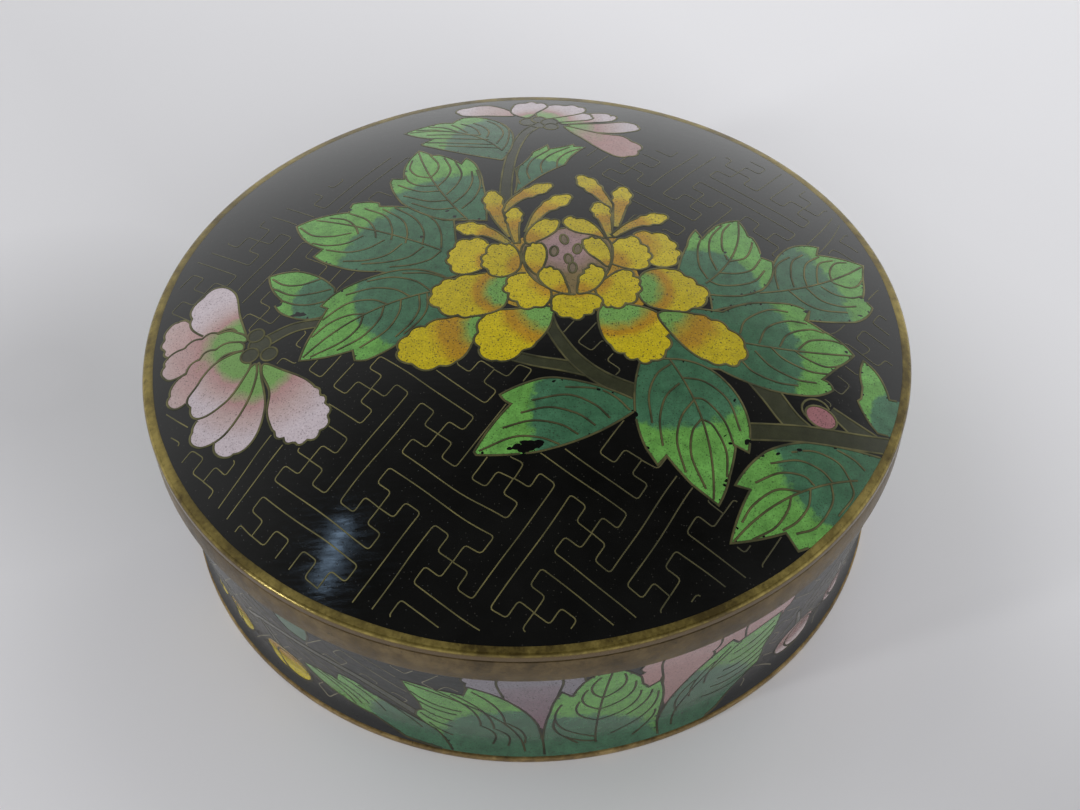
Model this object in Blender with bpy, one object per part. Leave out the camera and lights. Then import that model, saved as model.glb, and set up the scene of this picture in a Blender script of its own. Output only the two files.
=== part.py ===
"""Round enamelled copper box with a loose domed lid, a brass ring round the lid, a brass band
round the mouth and a brass foot ring. It stands on z = 0 with its axis on Z. Sizes are in metres.
"""
import math

import bmesh
import bpy

# Lid sizes
LID_RADIUS = 0.0570
RING_EDGE_HEIGHT = 0.0011
RING_EDGE_ROUND = 0.0005
RING_NECK = 0.0006
DOME_RISE = 0.0088
LID_THICKNESS = 0.0016
FLANGE_THICKNESS = 0.0012

# Base sizes
BASE_HEIGHT = 0.0304
BAND_HEIGHT = 0.0046
BAND_THICKNESS = 0.0008
SEAT_THICKNESS = 0.0010
WALL_THICKNESS = 0.0018
WALL_INSET = 0.0004
WALL_LEAN = 0.0034
COVE_DEPTH = 0.0013
COVE_HEIGHT = 0.0042
BOTTOM_THICKNESS = 0.0018
FLOOR_FILLET = 0.0030

# Foot sizes
FOOT_HEIGHT = 0.0012
FOOT_WIDTH = 0.0024
FOOT_OVERHANG = 0.0002

# Eased brass corners, and clearances: a soldered or enamelled joint, the loose lid's fit in the
# mouth, and the space left under its flange
EASED_CORNER = 0.0002
JOINT_GAP = 0.0003
LID_CLEARANCE = 0.0003
FLANGE_CLEARANCE = 0.0006

# Facets round the circle, and along each curve of a section
TURN_STEPS = 72
DOME_STEPS = 9
ROUND_STEPS = 3
WALL_STEPS = 4
COVE_STEPS = 4
SHARP_ANGLE = math.radians(30)

# The mouth: the band stands on the wall, and its foot makes a seat for the lid's flange
BAND_BOTTOM = BASE_HEIGHT - BAND_HEIGHT
SEAT_TOP = BAND_BOTTOM + SEAT_THICKNESS
BAND_INNER_RADIUS = LID_RADIUS - BAND_THICKNESS
WALL_TOP = BAND_BOTTOM - JOINT_GAP
WALL_TOP_RADIUS = LID_RADIUS - WALL_INSET
MOUTH_RADIUS = WALL_TOP_RADIUS - WALL_THICKNESS

# The wall's foot
WALL_BOTTOM = FOOT_HEIGHT + JOINT_GAP
WALL_BOTTOM_RADIUS = WALL_TOP_RADIUS - WALL_LEAN + COVE_DEPTH
FLOOR_HEIGHT = WALL_BOTTOM + BOTTOM_THICKNESS

# The lid: the flange hangs inside the band, and the dome meets the ring at RING_INNER_RADIUS
RING_BOTTOM = BASE_HEIGHT + JOINT_GAP
RING_CORNER = RING_BOTTOM + RING_EDGE_HEIGHT
FLANGE_RADIUS = BAND_INNER_RADIUS - LID_CLEARANCE
FLANGE_BOTTOM = SEAT_TOP + FLANGE_CLEARANCE
RING_INNER_RADIUS = FLANGE_RADIUS - RING_NECK
DOME_RADIUS = RING_INNER_RADIUS - JOINT_GAP
SPHERE_RADIUS = (DOME_RADIUS ** 2 + DOME_RISE ** 2) / (2 * DOME_RISE)
RIM_SLOPE = math.asin(DOME_RADIUS / SPHERE_RADIUS)
RING_TOP = RING_CORNER + (LID_RADIUS - RING_INNER_RADIUS) * math.tan(RIM_SLOPE)
DOME_EDGE = RING_TOP + JOINT_GAP * math.tan(RIM_SLOPE)
SPHERE_CENTRE = DOME_EDGE + DOME_RISE - SPHERE_RADIUS


def clear_scene():
    for scene_object in list(bpy.data.objects):
        bpy.data.objects.remove(scene_object, do_unlink=True)


def material(name, colour, roughness, metallic):
    made = bpy.data.materials.new(name)
    made.use_nodes = True
    shader = made.node_tree.nodes["Principled BSDF"]
    shader.inputs["Base Color"].default_value = (*colour, 1)
    shader.inputs["Roughness"].default_value = roughness
    shader.inputs["Metallic"].default_value = metallic
    return made


def arc(centre, radius, start, end, steps):
    """Points of an arc in the section, from one angle to the other, measured up from outwards."""
    angles = [start + (end - start) * i / steps for i in range(steps + 1)]
    return [
        (centre[0] + radius * math.cos(a), centre[1] + radius * math.sin(a)) for a in angles
    ]


def turned(name, section, finish):
    """Spins a section of (radius, height) points round Z into one closed solid."""
    built = bmesh.new()
    points = [built.verts.new((radius, 0, height)) for radius, height in section]
    joined = list(zip(points, points[1:]))
    if section[0][0] > 0:
        joined.append((points[-1], points[0]))
    edges = [built.edges.new(pair) for pair in joined]
    bmesh.ops.spin(
        built, geom=points + edges, cent=(0, 0, 0), axis=(0, 0, 1),
        angle=math.tau, steps=TURN_STEPS, use_merge=True,
    )
    bmesh.ops.remove_doubles(built, verts=built.verts, dist=1e-6)
    bmesh.ops.recalc_face_normals(built, faces=built.faces)
    mesh = bpy.data.meshes.new(name)
    built.to_mesh(mesh)
    built.free()
    mesh.shade_smooth()
    mesh.set_sharp_from_angle(angle=SHARP_ANGLE)
    mesh.materials.append(finish)
    solid = bpy.data.objects.new(name, mesh)
    bpy.context.collection.objects.link(solid)
    return solid


def dome_line(thickness_below):
    """The dome's outer face, or the face that much inside it, from the axis to the edge."""
    radius = SPHERE_RADIUS - thickness_below
    end = math.asin(DOME_RADIUS / radius)
    line = arc((0, SPHERE_CENTRE), radius, math.pi / 2, math.pi / 2 - end, DOME_STEPS)
    return [(0.0, line[0][1])] + line[1:]


def wall_radius(height):
    """The wall's outer face: it leans in as it goes down, and a cove turns it out at the foot."""
    up = (height - WALL_BOTTOM) / (WALL_TOP - WALL_BOTTOM)
    leaning = WALL_TOP_RADIUS - WALL_LEAN * (1 - up)
    into_cove = max(0.0, 1 - (height - WALL_BOTTOM) / COVE_HEIGHT)
    return leaning + COVE_DEPTH * into_cove ** 2


def wall_line():
    """The wall's outer face from the mouth down to the foot."""
    cove_top = WALL_BOTTOM + COVE_HEIGHT
    heights = [WALL_TOP + (cove_top - WALL_TOP) * i / WALL_STEPS for i in range(WALL_STEPS)]
    heights += [cove_top - COVE_HEIGHT * i / COVE_STEPS for i in range(COVE_STEPS + 1)]
    return [(wall_radius(height), height) for height in heights]


def make_lid_shell(enamel):
    """The enamelled dome, a shallow cap of a sphere, open underneath."""
    turned("lid_shell", dome_line(0.0) + dome_line(LID_THICKNESS)[::-1], enamel)


def make_lid_rim(brass):
    """The brass ring round the dome, with the flange that keeps the lid in place."""
    turn = math.pi / 2 - RIM_SLOPE
    corner_run = RING_EDGE_ROUND * math.tan(turn / 2)
    round_centre = (LID_RADIUS - RING_EDGE_ROUND, RING_CORNER - corner_run)
    flange_inner = FLANGE_RADIUS - FLANGE_THICKNESS
    flange_top = dome_line(LID_THICKNESS)[-1][1] - JOINT_GAP
    section = [(RING_INNER_RADIUS, RING_TOP)]
    section += arc(round_centre, RING_EDGE_ROUND, turn, 0.0, ROUND_STEPS)
    section += [
        (LID_RADIUS, RING_BOTTOM + EASED_CORNER),
        (LID_RADIUS - EASED_CORNER, RING_BOTTOM),
        (FLANGE_RADIUS, RING_BOTTOM),
        (FLANGE_RADIUS, FLANGE_BOTTOM + EASED_CORNER),
        (FLANGE_RADIUS - EASED_CORNER, FLANGE_BOTTOM),
        (flange_inner, FLANGE_BOTTOM),
        (flange_inner, flange_top),
        (RING_INNER_RADIUS, flange_top),
    ]
    turned("lid_rim", section, brass)


def make_base_shell(enamel):
    """The enamelled bowl: a flat bottom and a wall that leans in and flares to the foot."""
    inner_bottom_radius = wall_radius(WALL_BOTTOM + COVE_HEIGHT) - WALL_THICKNESS
    fillet_centre = (inner_bottom_radius - FLOOR_FILLET, FLOOR_HEIGHT + FLOOR_FILLET)
    section = [(0.0, FLOOR_HEIGHT)]
    section += arc(fillet_centre, FLOOR_FILLET, -math.pi / 2, 0.0, ROUND_STEPS)
    section += [(MOUTH_RADIUS, WALL_TOP)] + wall_line() + [(0.0, WALL_BOTTOM)]
    turned("base_shell", section, enamel)


def make_base_rim(brass):
    """The brass band round the mouth, with the seat inside it."""
    section = [
        (BAND_INNER_RADIUS, BASE_HEIGHT),
        (LID_RADIUS - EASED_CORNER, BASE_HEIGHT),
        (LID_RADIUS, BASE_HEIGHT - EASED_CORNER),
        (LID_RADIUS, BAND_BOTTOM + EASED_CORNER),
        (LID_RADIUS - EASED_CORNER, BAND_BOTTOM),
        (MOUTH_RADIUS, BAND_BOTTOM),
        (MOUTH_RADIUS, SEAT_TOP),
        (BAND_INNER_RADIUS, SEAT_TOP),
    ]
    turned("base_rim", section, brass)


def make_foot_ring(brass):
    """The brass ring that the box stands on."""
    outer = WALL_BOTTOM_RADIUS + FOOT_OVERHANG
    section = [
        (outer - FOOT_WIDTH, FOOT_HEIGHT),
        (outer - EASED_CORNER, FOOT_HEIGHT),
        (outer, FOOT_HEIGHT - EASED_CORNER),
        (outer, EASED_CORNER),
        (outer - EASED_CORNER, 0.0),
        (outer - FOOT_WIDTH, 0.0),
    ]
    turned("foot_ring", section, brass)


def main():
    clear_scene()
    enamel = material("black_enamel", (0.006, 0.007, 0.008), 0.14, 0.0)
    brass = material("aged_brass", (0.24, 0.17, 0.07), 0.42, 0.9)
    make_lid_shell(enamel)
    make_lid_rim(brass)
    make_base_shell(enamel)
    make_base_rim(brass)
    make_foot_ring(brass)


main()
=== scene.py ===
"""Looks of a round cloisonne box: coloured enamels between wires on a black ground, inside brass rims.

The drawing on the lid is in millimetres of plan, x to the right and y to the back, and is then laid
on the dome. The drawing on the wall is in millimetres along the wall and up it.
"""
import math
import random

import bpy
import numpy as np
from mathutils import Matrix, Vector, noise
from mathutils.geometry import delaunay_2d_cdt
from mathutils.kdtree import KDTree


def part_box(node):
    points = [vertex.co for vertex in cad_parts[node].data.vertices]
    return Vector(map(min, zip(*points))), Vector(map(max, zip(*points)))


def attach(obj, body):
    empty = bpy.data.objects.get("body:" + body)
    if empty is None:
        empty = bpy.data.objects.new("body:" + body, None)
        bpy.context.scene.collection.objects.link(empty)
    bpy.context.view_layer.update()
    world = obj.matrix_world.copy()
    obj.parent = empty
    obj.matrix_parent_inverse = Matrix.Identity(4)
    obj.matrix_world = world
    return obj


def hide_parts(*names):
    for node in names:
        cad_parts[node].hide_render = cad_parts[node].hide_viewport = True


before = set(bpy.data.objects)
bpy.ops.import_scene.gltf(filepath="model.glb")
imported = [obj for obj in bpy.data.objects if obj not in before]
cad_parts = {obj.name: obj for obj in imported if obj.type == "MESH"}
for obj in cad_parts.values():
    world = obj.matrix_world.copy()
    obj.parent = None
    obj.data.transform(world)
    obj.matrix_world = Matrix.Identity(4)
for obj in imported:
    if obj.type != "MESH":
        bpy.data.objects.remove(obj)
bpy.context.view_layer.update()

MM = 0.001
BODY = "root"


# Sizes read from the frame, in millimetres
def corners_mm(node):
    low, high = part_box(node)
    return low / MM, high / MM


def node_section(node):
    """The (radius, height) of every vertex of a node."""
    places = [vertex.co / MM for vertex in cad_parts[node].data.vertices]
    return [(math.hypot(place.x, place.y), place.z) for place in places]


DOME_RADIUS = corners_mm("lid_shell")[1].x
DOME_TOP = corners_mm("lid_shell")[1].z
DOME_EDGE = max(z for r, z in node_section("lid_shell") if r > DOME_RADIUS - 0.02)
DOME_RISE = DOME_TOP - DOME_EDGE
SPHERE_RADIUS = (DOME_RADIUS ** 2 + DOME_RISE ** 2) / (2 * DOME_RISE)
SPHERE_CENTRE = DOME_TOP - SPHERE_RADIUS
LID_RADIUS = corners_mm("lid_rim")[1].x
FLANGE_BOTTOM = corners_mm("lid_rim")[0].z
BAND_TOP = corners_mm("base_rim")[1].z
BAND_BOTTOM = corners_mm("base_rim")[0].z
WALL_TOP = corners_mm("base_shell")[1].z
WALL_BOTTOM = corners_mm("base_shell")[0].z
WALL_TOP_RADIUS = corners_mm("base_shell")[1].x
WALL_BOTTOM_RADIUS = max(r for r, z in node_section("base_shell") if z < WALL_BOTTOM + 0.02)
FOOT_RADIUS = corners_mm("foot_ring")[1].x
FOOT_TOP = corners_mm("foot_ring")[1].z

# The wall's cove, as the frame has it, and the radius at which its drawing is laid out
COVE_DEPTH = 1.3
COVE_HEIGHT = 4.2
WALL_SCALE = 55.0
WALL_HALF_LENGTH = math.pi * WALL_SCALE
SLOPE_STEP = 0.05

# Enamel, and the edge of the lid's, whose circle is off centre and uneven
ENAMEL_DEPTH = 0.4
EDGE_CENTRE = (0.08, -0.22)
EDGE_RADIUS = DOME_RADIUS + 0.42
EDGE_WANDER = 0.16
EDGE_STEPS = 768
# Its coarse and its fine unevenness: how many waves, how much of them, and where in the noise
EDGE_WAVES = ((2.4, 1, 0), (9, 0.5, 5))

# How finely the drawings are cut
DRAWING_STEP = 0.4
GRID_STEP = 1.1
GRID_ROW_STEP = 0.87 * GRID_STEP
LID_GRID_SHARE = 0.99
CUT_TOLERANCE = 1e-4
CELL_SEED = 7

# Wires: their widths, how deep they go, and how far their edges and their tops stand proud
MOTIF_WIRE = 0.36
VEIN_WIRE = 0.32
FRET_WIRE = 0.2
WIRE_DEPTH = 0.15
WIRE_CROWN = 0.035
WIRE_EDGE = 0.4 * WIRE_CROWN
WIRE_TOP = 0.85 * WIRE_CROWN
WIRE_TURN_LEAST = 0.6
SHARP_WIRE = math.radians(50)

# Turned pieces: the cores under the enamel, the lid's ring and flange, the band and the foot
TURN_STEPS = 256
DOME_STEPS = 40
DOME_MIDDLE = 0.0005
WALL_STEPS = 16
ROUND_STEPS = 7
SHARP_TURNED = math.radians(28)
CORE_GAP = 0.02
AXIS_GAP = 0.02
LID_WALL = 1.6
BASE_WALL = 1.8
FLOOR_FILLET = 3.0
FLANGE_INSET = 1.1
FLANGE_WIDTH = 1.2
RING_GAP = 0.14
RING_ROUND = 0.55
RING_ROUND_DROP = 0.72
RING_ROUND_ANGLE = 72
BAND_WIDTH = 0.8
SEAT_HEIGHT = 1.0
FOOT_WIDTH = 2.4
RING_BEVEL = 0.2
FLANGE_ROOT = 0.5

# Worn corners: how far in from the side, and how far from the top or bottom, each point is
BAND_TOP_WEAR = ((0.25, 0), (0.06, 0.08), (0, 0.3))
BAND_BOTTOM_WEAR = ((0, 0.3), (0.08, 0.08), (0.3, 0))
FOOT_TOP_WEAR = ((0.25, 0), (0.05, 0.1), (0, 0.35))
FOOT_BOTTOM_WEAR = ((0, 0.35), (0.08, 0.1), (0.3, 0))

# The photograph's view, above and in front of the lid: angles in degrees, lens and frame in mm
VIEW_ELEVATION = 45.84
VIEW_DISTANCE = 225.6
VIEW_CENTRE_HEIGHT = 31.6
VIEW_YAW = -0.44
VIEW_PITCH = -2.84
VIEW_ROLL = 1.74
VIEW_LENS = 50
VIEW_FRAME = 36
VIEW_NEAREST = 0.01


# Surfaces
def on_dome(plan, lift=0.0):
    """Places of plan points on the dome, raised by lift, and the dome's normals there."""
    x, y = plan[:, 0], plan[:, 1]
    up = np.sqrt(SPHERE_RADIUS ** 2 - x ** 2 - y ** 2)
    normals = np.stack([x, y, up], 1) / SPHERE_RADIUS
    places = normals * (SPHERE_RADIUS + lift)
    places[:, 2] += SPHERE_CENTRE
    return places * MM, normals


def wall_radius(height):
    wall_lean = WALL_TOP_RADIUS - WALL_BOTTOM_RADIUS + COVE_DEPTH
    up = (height - WALL_BOTTOM) / (WALL_TOP - WALL_BOTTOM)
    into_cove = np.maximum(0.0, 1 - (height - WALL_BOTTOM) / COVE_HEIGHT)
    return WALL_TOP_RADIUS - wall_lean * (1 - up) + COVE_DEPTH * into_cove ** 2


def on_wall(sheet, lift=0.0):
    """Places of (along, up) points on the wall, from the middle of its front, and its normals."""
    angle = sheet[:, 0] / WALL_SCALE
    height = sheet[:, 1]
    slope = (wall_radius(height + SLOPE_STEP) - wall_radius(height - SLOPE_STEP)) / (2 * SLOPE_STEP)
    outward = 1 / np.sqrt(1 + slope ** 2)
    normals = np.stack([np.sin(angle) * outward, -np.cos(angle) * outward, -slope * outward], 1)
    radius = wall_radius(height)
    places = np.stack([radius * np.sin(angle), -radius * np.cos(angle), height], 1)
    return (places + normals * lift) * MM, normals


# Curves of the drawing
def along_arc(start, end, bulge, t):
    """Places at shares t of an arc that bulges to the right of the way by a share of its chord."""
    start, end = np.array(start, float), np.array(end, float)
    way = end - start
    side = np.array([way[1], -way[0]])
    return start + way * t + side * 4 * bulge * t * (1 - t)


def arc(start, end, bulge):
    """Points of an arc, all but its end."""
    chord = float(np.hypot(*(np.array(end, float) - np.array(start, float))))
    count = max(1, round(chord * (1 + 2 * bulge ** 2) / DRAWING_STEP))
    return along_arc(start, end, bulge, (np.arange(count) / count)[:, None])


def open_arc(start, end, bulge):
    return np.vstack([arc(start, end, bulge), [end]])


def closed_arcs(corners):
    """A closed outline from (x, y, bulge) corners, anticlockwise, with bulges outward."""
    turned = corners[1:] + corners[:1]
    return np.vstack([arc(a[:2], b[:2], a[2]) for a, b in zip(corners, turned)])


def curved(before, start, end, after, step):
    """A smooth curve between two points, given the points around them, and its shares of the way."""
    t = np.linspace(0, 1, max(2, round(float(np.hypot(*(end - start))) / step)) + 1)[:-1, None]
    into, out = (end - before) / 2, (after - start) / 2
    curve = (
        (2 * t ** 3 - 3 * t ** 2 + 1) * start + (t ** 3 - 2 * t ** 2 + t) * into
        + (-2 * t ** 3 + 3 * t ** 2) * end + (t ** 3 - t ** 2) * out
    )
    return curve, t[:, 0]


def to_right(way):
    """Steps of length 1 to the right of each way."""
    return np.stack([way[:, 1], -way[:, 0]], 1) / np.hypot(*way.T)[:, None]


def outward(outline):
    """Steps of length 1 out of a closed outline, at each of its points."""
    return winding(outline) * to_right(np.roll(outline, -1, 0) - np.roll(outline, 1, 0))


def smooth_loop(points, scallops=None):
    """A closed curve through a few points.

    scallops is (first point, last point, lobes): between the two points the curve is drawn out into
    round lobes with notches between them.
    """
    count = len(points)
    points = np.array(points, float)
    pieces, share = [], []
    for i in range(count):
        piece, t = curved(*(points[(i + k) % count] for k in (-1, 0, 1, 2)), DRAWING_STEP)
        pieces.append(piece)
        share.append(i + t)
    loop, share = np.vstack(pieces), np.concatenate(share)
    if scallops is None:
        return loop
    first, last, lobes = scallops
    along = np.hypot(*(np.roll(loop, -1, 0) - loop).T)
    run = np.where((share >= first) & (share <= last), along, 0).cumsum()
    t = np.clip(run / run[-1], 0, 1)
    wander = SCALLOP_WANDER / lobes * np.sin(math.tau * (1.4 * t + 0.13 * first + 0.07 * lobes))
    lobe = np.abs(np.sin(math.pi * lobes * np.clip(t + wander, 0, 1))) ** 0.75 - 0.66
    fade = np.clip(np.minimum(t, 1 - t) * lobes * 2, 0, 1)
    return loop + outward(loop) * (SCALLOP_DEPTH * lobe * fade)[:, None]


def smooth_path(points, step=DRAWING_STEP):
    """An open curve through a few points."""
    points = np.array(points, float)
    held = np.vstack([2 * points[0] - points[1], points, 2 * points[-1] - points[-2]])
    pieces = [curved(*four, step)[0] for four in zip(held, held[1:], held[2:], held[3:])]
    return np.vstack(pieces + [points[-1:]])


def ellipse(centre, along, across, turn=0.0, count=None):
    """A closed ellipse, its long way turned from x by an angle in degrees."""
    count = count or max(12, round(math.pi * (along + across) / DRAWING_STEP))
    angle = np.arange(count) * math.tau / count
    x, y = along * np.cos(angle), across * np.sin(angle)
    c, s = math.cos(math.radians(turn)), math.sin(math.radians(turn))
    return np.stack([centre[0] + c * x - s * y, centre[1] + s * x + c * y], 1)


def winding(outline):
    """Plus for an anticlockwise outline and minus for a clockwise one."""
    x, y = outline.T
    return math.copysign(1.0, float((x * np.roll(y, -1) - y * np.roll(x, -1)).sum()))


def inside(points, outline):
    """Which points are inside a closed outline."""
    x, y = points[:, :1], points[:, 1:]
    ax, ay = outline[:, 0], outline[:, 1]
    bx, by = np.roll(ax, -1), np.roll(ay, -1)
    crosses = (ay > y) != (by > y)
    rise = np.where(by == ay, 1e-9, by - ay)
    return (crosses & (x < ax + (y - ay) / rise * (bx - ax))).sum(1) % 2 == 1


def even(value):
    """A tone that is the same all over a cell."""
    return lambda points: np.full(len(points), value)


def share_of_way(start, end):
    """A function that gives how far points are from the start, in shares of the way to the end."""
    start = np.array(start, float)
    length = float(np.hypot(*(np.array(end, float) - start)))
    return lambda points: np.hypot(*(points - start).T) / length


class Drawing:
    """Cells of enamel in the order they cover each other, and the wires that go with them."""

    def __init__(self, surface, border):
        self.surface = surface
        self.cells = []
        self.wires = []
        self.add("ground", border, None, wired=False)

    def add(self, kind, outline, tone=None, wired=True):
        if winding(outline) < 0:
            outline = outline[::-1]
        self.cells.append({
            "kind": kind, "outline": outline, "tone": tone or even(0.0),
            "low": outline.min(0), "high": outline.max(0),
        })
        if wired:
            self.wire("motif", np.vstack([outline, outline[:1]]))

    def wire(self, kind, path):
        """Lays a wire on the last cell."""
        self.wires.append((len(self.cells) - 1, kind, path))

    def covered(self, points, above):
        """Which points are under a cell that lies above the given one."""
        hidden = np.zeros(len(points), bool)
        low, high = points.min(0), points.max(0)
        for cell in self.cells[above + 1:]:
            if (cell["low"] < high).all() and (cell["high"] > low).all():
                hidden |= inside(points, cell["outline"])
        return hidden

    def visible_wires(self, kind):
        """The stretches of the wires of one kind that no cell above covers."""
        border = self.cells[0]["outline"]
        shown = []
        for cell, wire_kind, path in self.wires:
            if wire_kind != kind:
                continue
            keep = ~self.covered(path, cell) & inside(path, border)
            if kind == "vein":
                keep &= inside(path, self.cells[cell]["outline"])
            shown += runs(path, keep)
        return shown


def is_loop(path):
    """Whether a path starts where it ends."""
    return len(path) > 3 and np.hypot(*(path[0] - path[-1])) < 1e-6


def runs(path, keep):
    """Splits a path at the points that aren't kept."""
    if keep.all():
        return [path]
    if is_loop(path):
        first = int(np.argmin(keep))
        path = np.roll(path[:-1], -first, 0)
        keep = np.roll(keep[:-1], -first)
    found, current = [], []
    for point, kept in zip(path, keep):
        if kept:
            current.append(point)
        elif current:
            found.append(current)
            current = []
    if current:
        found.append(current)
    return [np.array(run) for run in found if len(run) > 2]


# Motifs
SCALLOP_DEPTH = 0.62
SCALLOP_WANDER = 0.16
CHIP_POINTS = 26
CHIP_RAGGEDNESS = 0.9
CHIP_NOISE = 1.7
EDGE_PIT_SHARE = 0.16
EDGE_PIT_STEP = 2
EDGE_PIT_SIZE = (0.07, 0.17)
EDGE_PIT_DEPTH = 0.14

# A club's stalk at its start and how much it gains, its head, and where the head starts
CLUB_STALK = 0.16
CLUB_STALK_GAIN = 0.2
CLUB_HEAD = 0.56
CLUB_HEAD_START = 0.08
CLUB_LOBES = 7.5


def leaf(drawing, corners, base, tip, light, midrib, veins=(), fans=(), strokes=()):
    """A lobed leaf, dark from its base and light beyond a share of its length, with its veins.

    A vein is a curve through its points, and a stroke is an arc. A fan is (count, first and last
    share of the midrib, first and last end, bulge of the line of ends, bulge of the veins).
    """
    share = share_of_way(base, tip)
    outline = closed_arcs(list(corners))
    drawing.add("leaf", outline, lambda points: 0.5 + share(points) - light)
    if midrib:
        drawing.wire("vein", open_arc(*midrib))
    for vein in veins:
        drawing.wire("vein", smooth_path(vein))
    for stroke in strokes:
        drawing.wire("vein", open_arc(*stroke))
    for count, share_0, share_1, end_0, end_1, end_bulge, bulge in fans:
        for i in range(count):
            t = i / max(1, count - 1)
            start = along_arc(*midrib, share_0 + (share_1 - share_0) * t)
            end = along_arc(end_0, end_1, end_bulge, t)
            drawing.wire("vein", open_arc(start, end, bulge))
    pitted_edge(drawing, outline)


def pitted_edge(drawing, outline):
    """Pinholes just inside an outline, where the enamel has drawn back from its wire."""
    chance = random.Random(len(drawing.cells))
    for place, out in zip(outline[::EDGE_PIT_STEP], outward(outline)[::EDGE_PIT_STEP]):
        size = chance.uniform(*EDGE_PIT_SIZE)
        if chance.random() < EDGE_PIT_SHARE:
            x, y = place - out * (size + EDGE_PIT_DEPTH)
            chip(drawing, x, y, size * 1.3, size, chance.uniform(0, 180))


def petal(drawing, kind, points, base, far, green, pale, scallops=None):
    """A petal inside a smooth loop. Its colours run from a base point to its far end.

    green and pale are the shares of that way where its first colour ends and its last starts.
    """
    share = share_of_way(base, far)

    def tone(points):
        return np.interp(share(points), [0, green, pale, 1], [0, 1 / 3, 2 / 3, 1])

    drawing.add(kind, smooth_loop(points, scallops), tone)


def chip(drawing, x, y, along, across, turn=0.0):
    """A ragged spot where the enamel is lost and shows dark."""
    spot = ellipse((0, 0), along, across, turn, CHIP_POINTS)
    ragged = np.array([
        1 + CHIP_RAGGEDNESS * noise.noise(Vector((px * CHIP_NOISE + x, py * CHIP_NOISE + y, 0.5)))
        for px, py in spot
    ])
    drawing.add("ground", np.array([x, y]) + spot * ragged[:, None], wired=False)


def ribbon(path, half_width):
    """The outline of a band along a curve. half_width gives its width by the share of its length."""
    line = smooth_path(path, DRAWING_STEP / 2)
    side = to_right(np.gradient(line, axis=0))
    half = half_width(np.linspace(0, 1, len(line)))[:, None]
    return np.vstack([line + side * half, (line - side * half)[::-1]])


def stem(drawing, path, width_start, width_end):
    """A stem of changing width along a curve."""
    outline = ribbon(path, lambda t: (width_start + (width_end - width_start) * t) / 2)
    drawing.add("stem", outline)


def club(drawing, path, width, neck):
    """A petal with a stalk, up to a share of its length, and a head of small lobes."""
    def half_width(t):
        stalk = CLUB_STALK + CLUB_STALK_GAIN * np.clip(t / neck, 0, 1) * (t < neck + 0.2)
        u = np.clip((t - neck + CLUB_HEAD_START) / (1 + CLUB_HEAD_START - neck), 0, 1)
        round_head = CLUB_HEAD * np.sqrt(1 - (2 * u - 1) ** 2)
        head = round_head * (1 - 0.2 * np.abs(np.cos(CLUB_LOBES * u)) ** 3)
        return width * np.maximum(np.where(t < neck + 0.2, stalk, 0.05), head)

    share = share_of_way(path[0], path[-1])

    def tone(points):
        return np.interp(share(points), [0, neck - 0.12, neck + 0.12, 1], [1 / 3, 0.4, 0.62, 0.9])

    drawing.add("yellow", ribbon(path, half_width), tone)


# The fret: at every second knot of a lattice four bent wires meet
FRET_ORIGIN = (-12.46, -26.2)
FRET_ALONG = (1.95, -1.65)
FRET_ACROSS = (1.54, 2.01)
FRET_CELL = 5
FRET_ARMS = (
    ((0, 0), (-1, 0), (-1, 1), (-2, 1), (-2, -6), (-1, -6), (-1, -5), (0, -5)),
    ((0, 0), (1, 0), (1, -1), (2, -1), (2, 6), (1, 6), (1, 5), (0, 5)),
    ((0, 0), (0, 1), (1, 1), (1, 2), (-6, 2), (-6, 1), (-5, 1), (-5, 0)),
    ((0, 0), (0, -1), (-1, -1), (-1, -2), (6, -2), (6, -1), (5, -1), (5, 0)),
)
FRET_CORNER = 0.55
FRET_STEP = 0.8
FRET_MARGIN = 0.2
FRET_LEAST_POINTS = 5
FRET_WANDER = 0.24
FRET_WANDER_LENGTH = 9.0
FRET_SEED_STEP = 0.37
FRET_SEED_APART = 31.7
LID_FRET_REACH = (110, 110)
WALL_FRET_ORIGIN = (0, 12)
WALL_FRET_REACH = (200, 30)
WALL_FRET_GAPS = (1.5, 0.3)

# Where the lid's fret ends: near the rim, at the back, sooner on the left, and behind the peony
FRET_RIM_GAP = 0.8
FRET_BACK = 36.0
FRET_BACK_LEFT = -22
FRET_BACK_SLOPE = 0.7
FRET_GAP = (-8.5, 10.5)
FRET_GAP_FRONT = 14.0

# How far the lid's fret has drifted from its lattice: at (x, y) by (x, y), in millimetres
FRET_DRIFT = (
    (-45, 8, 2.7, .5), (-32, 20, 2.5, 1.3), (-24, -15, .5, .5), (-14, -27, .1, .2),
    (-14, -43, 0, 0), (2, -42, .7, 1.2), (10, -31, -.1, 1.75), (10, -47, .5, 1.4),
    (25, -36, .75, 2.9), (16, 28, 1.4, -2.8), (-48, -30, 2.8, 1.6), (-35, -33, .1, .2),
)
FRET_DRIFT_REACH = 5.5


def rounded(points, radius):
    """A path with its corners rounded, and its straight runs cut into short steps."""
    points = [np.array(p, float) for p in points]
    path = [points[0]]
    for before, corner, after in zip(points, points[1:], points[2:]):
        into, out = corner - before, after - corner
        a = corner - into / np.hypot(*into) * radius
        b = corner + out / np.hypot(*out) * radius
        path += [(1 - t) ** 2 * a + 2 * t * (1 - t) * corner + t * t * b for t in (0, .33, .67, 1)]
    path.append(points[-1])
    fine = []
    for a, b in zip(path, path[1:]):
        steps = max(1, round(float(np.hypot(*(b - a))) / FRET_STEP))
        fine += [a + (b - a) * i / steps for i in range(steps)]
    return np.array(fine + [path[-1]])


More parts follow.
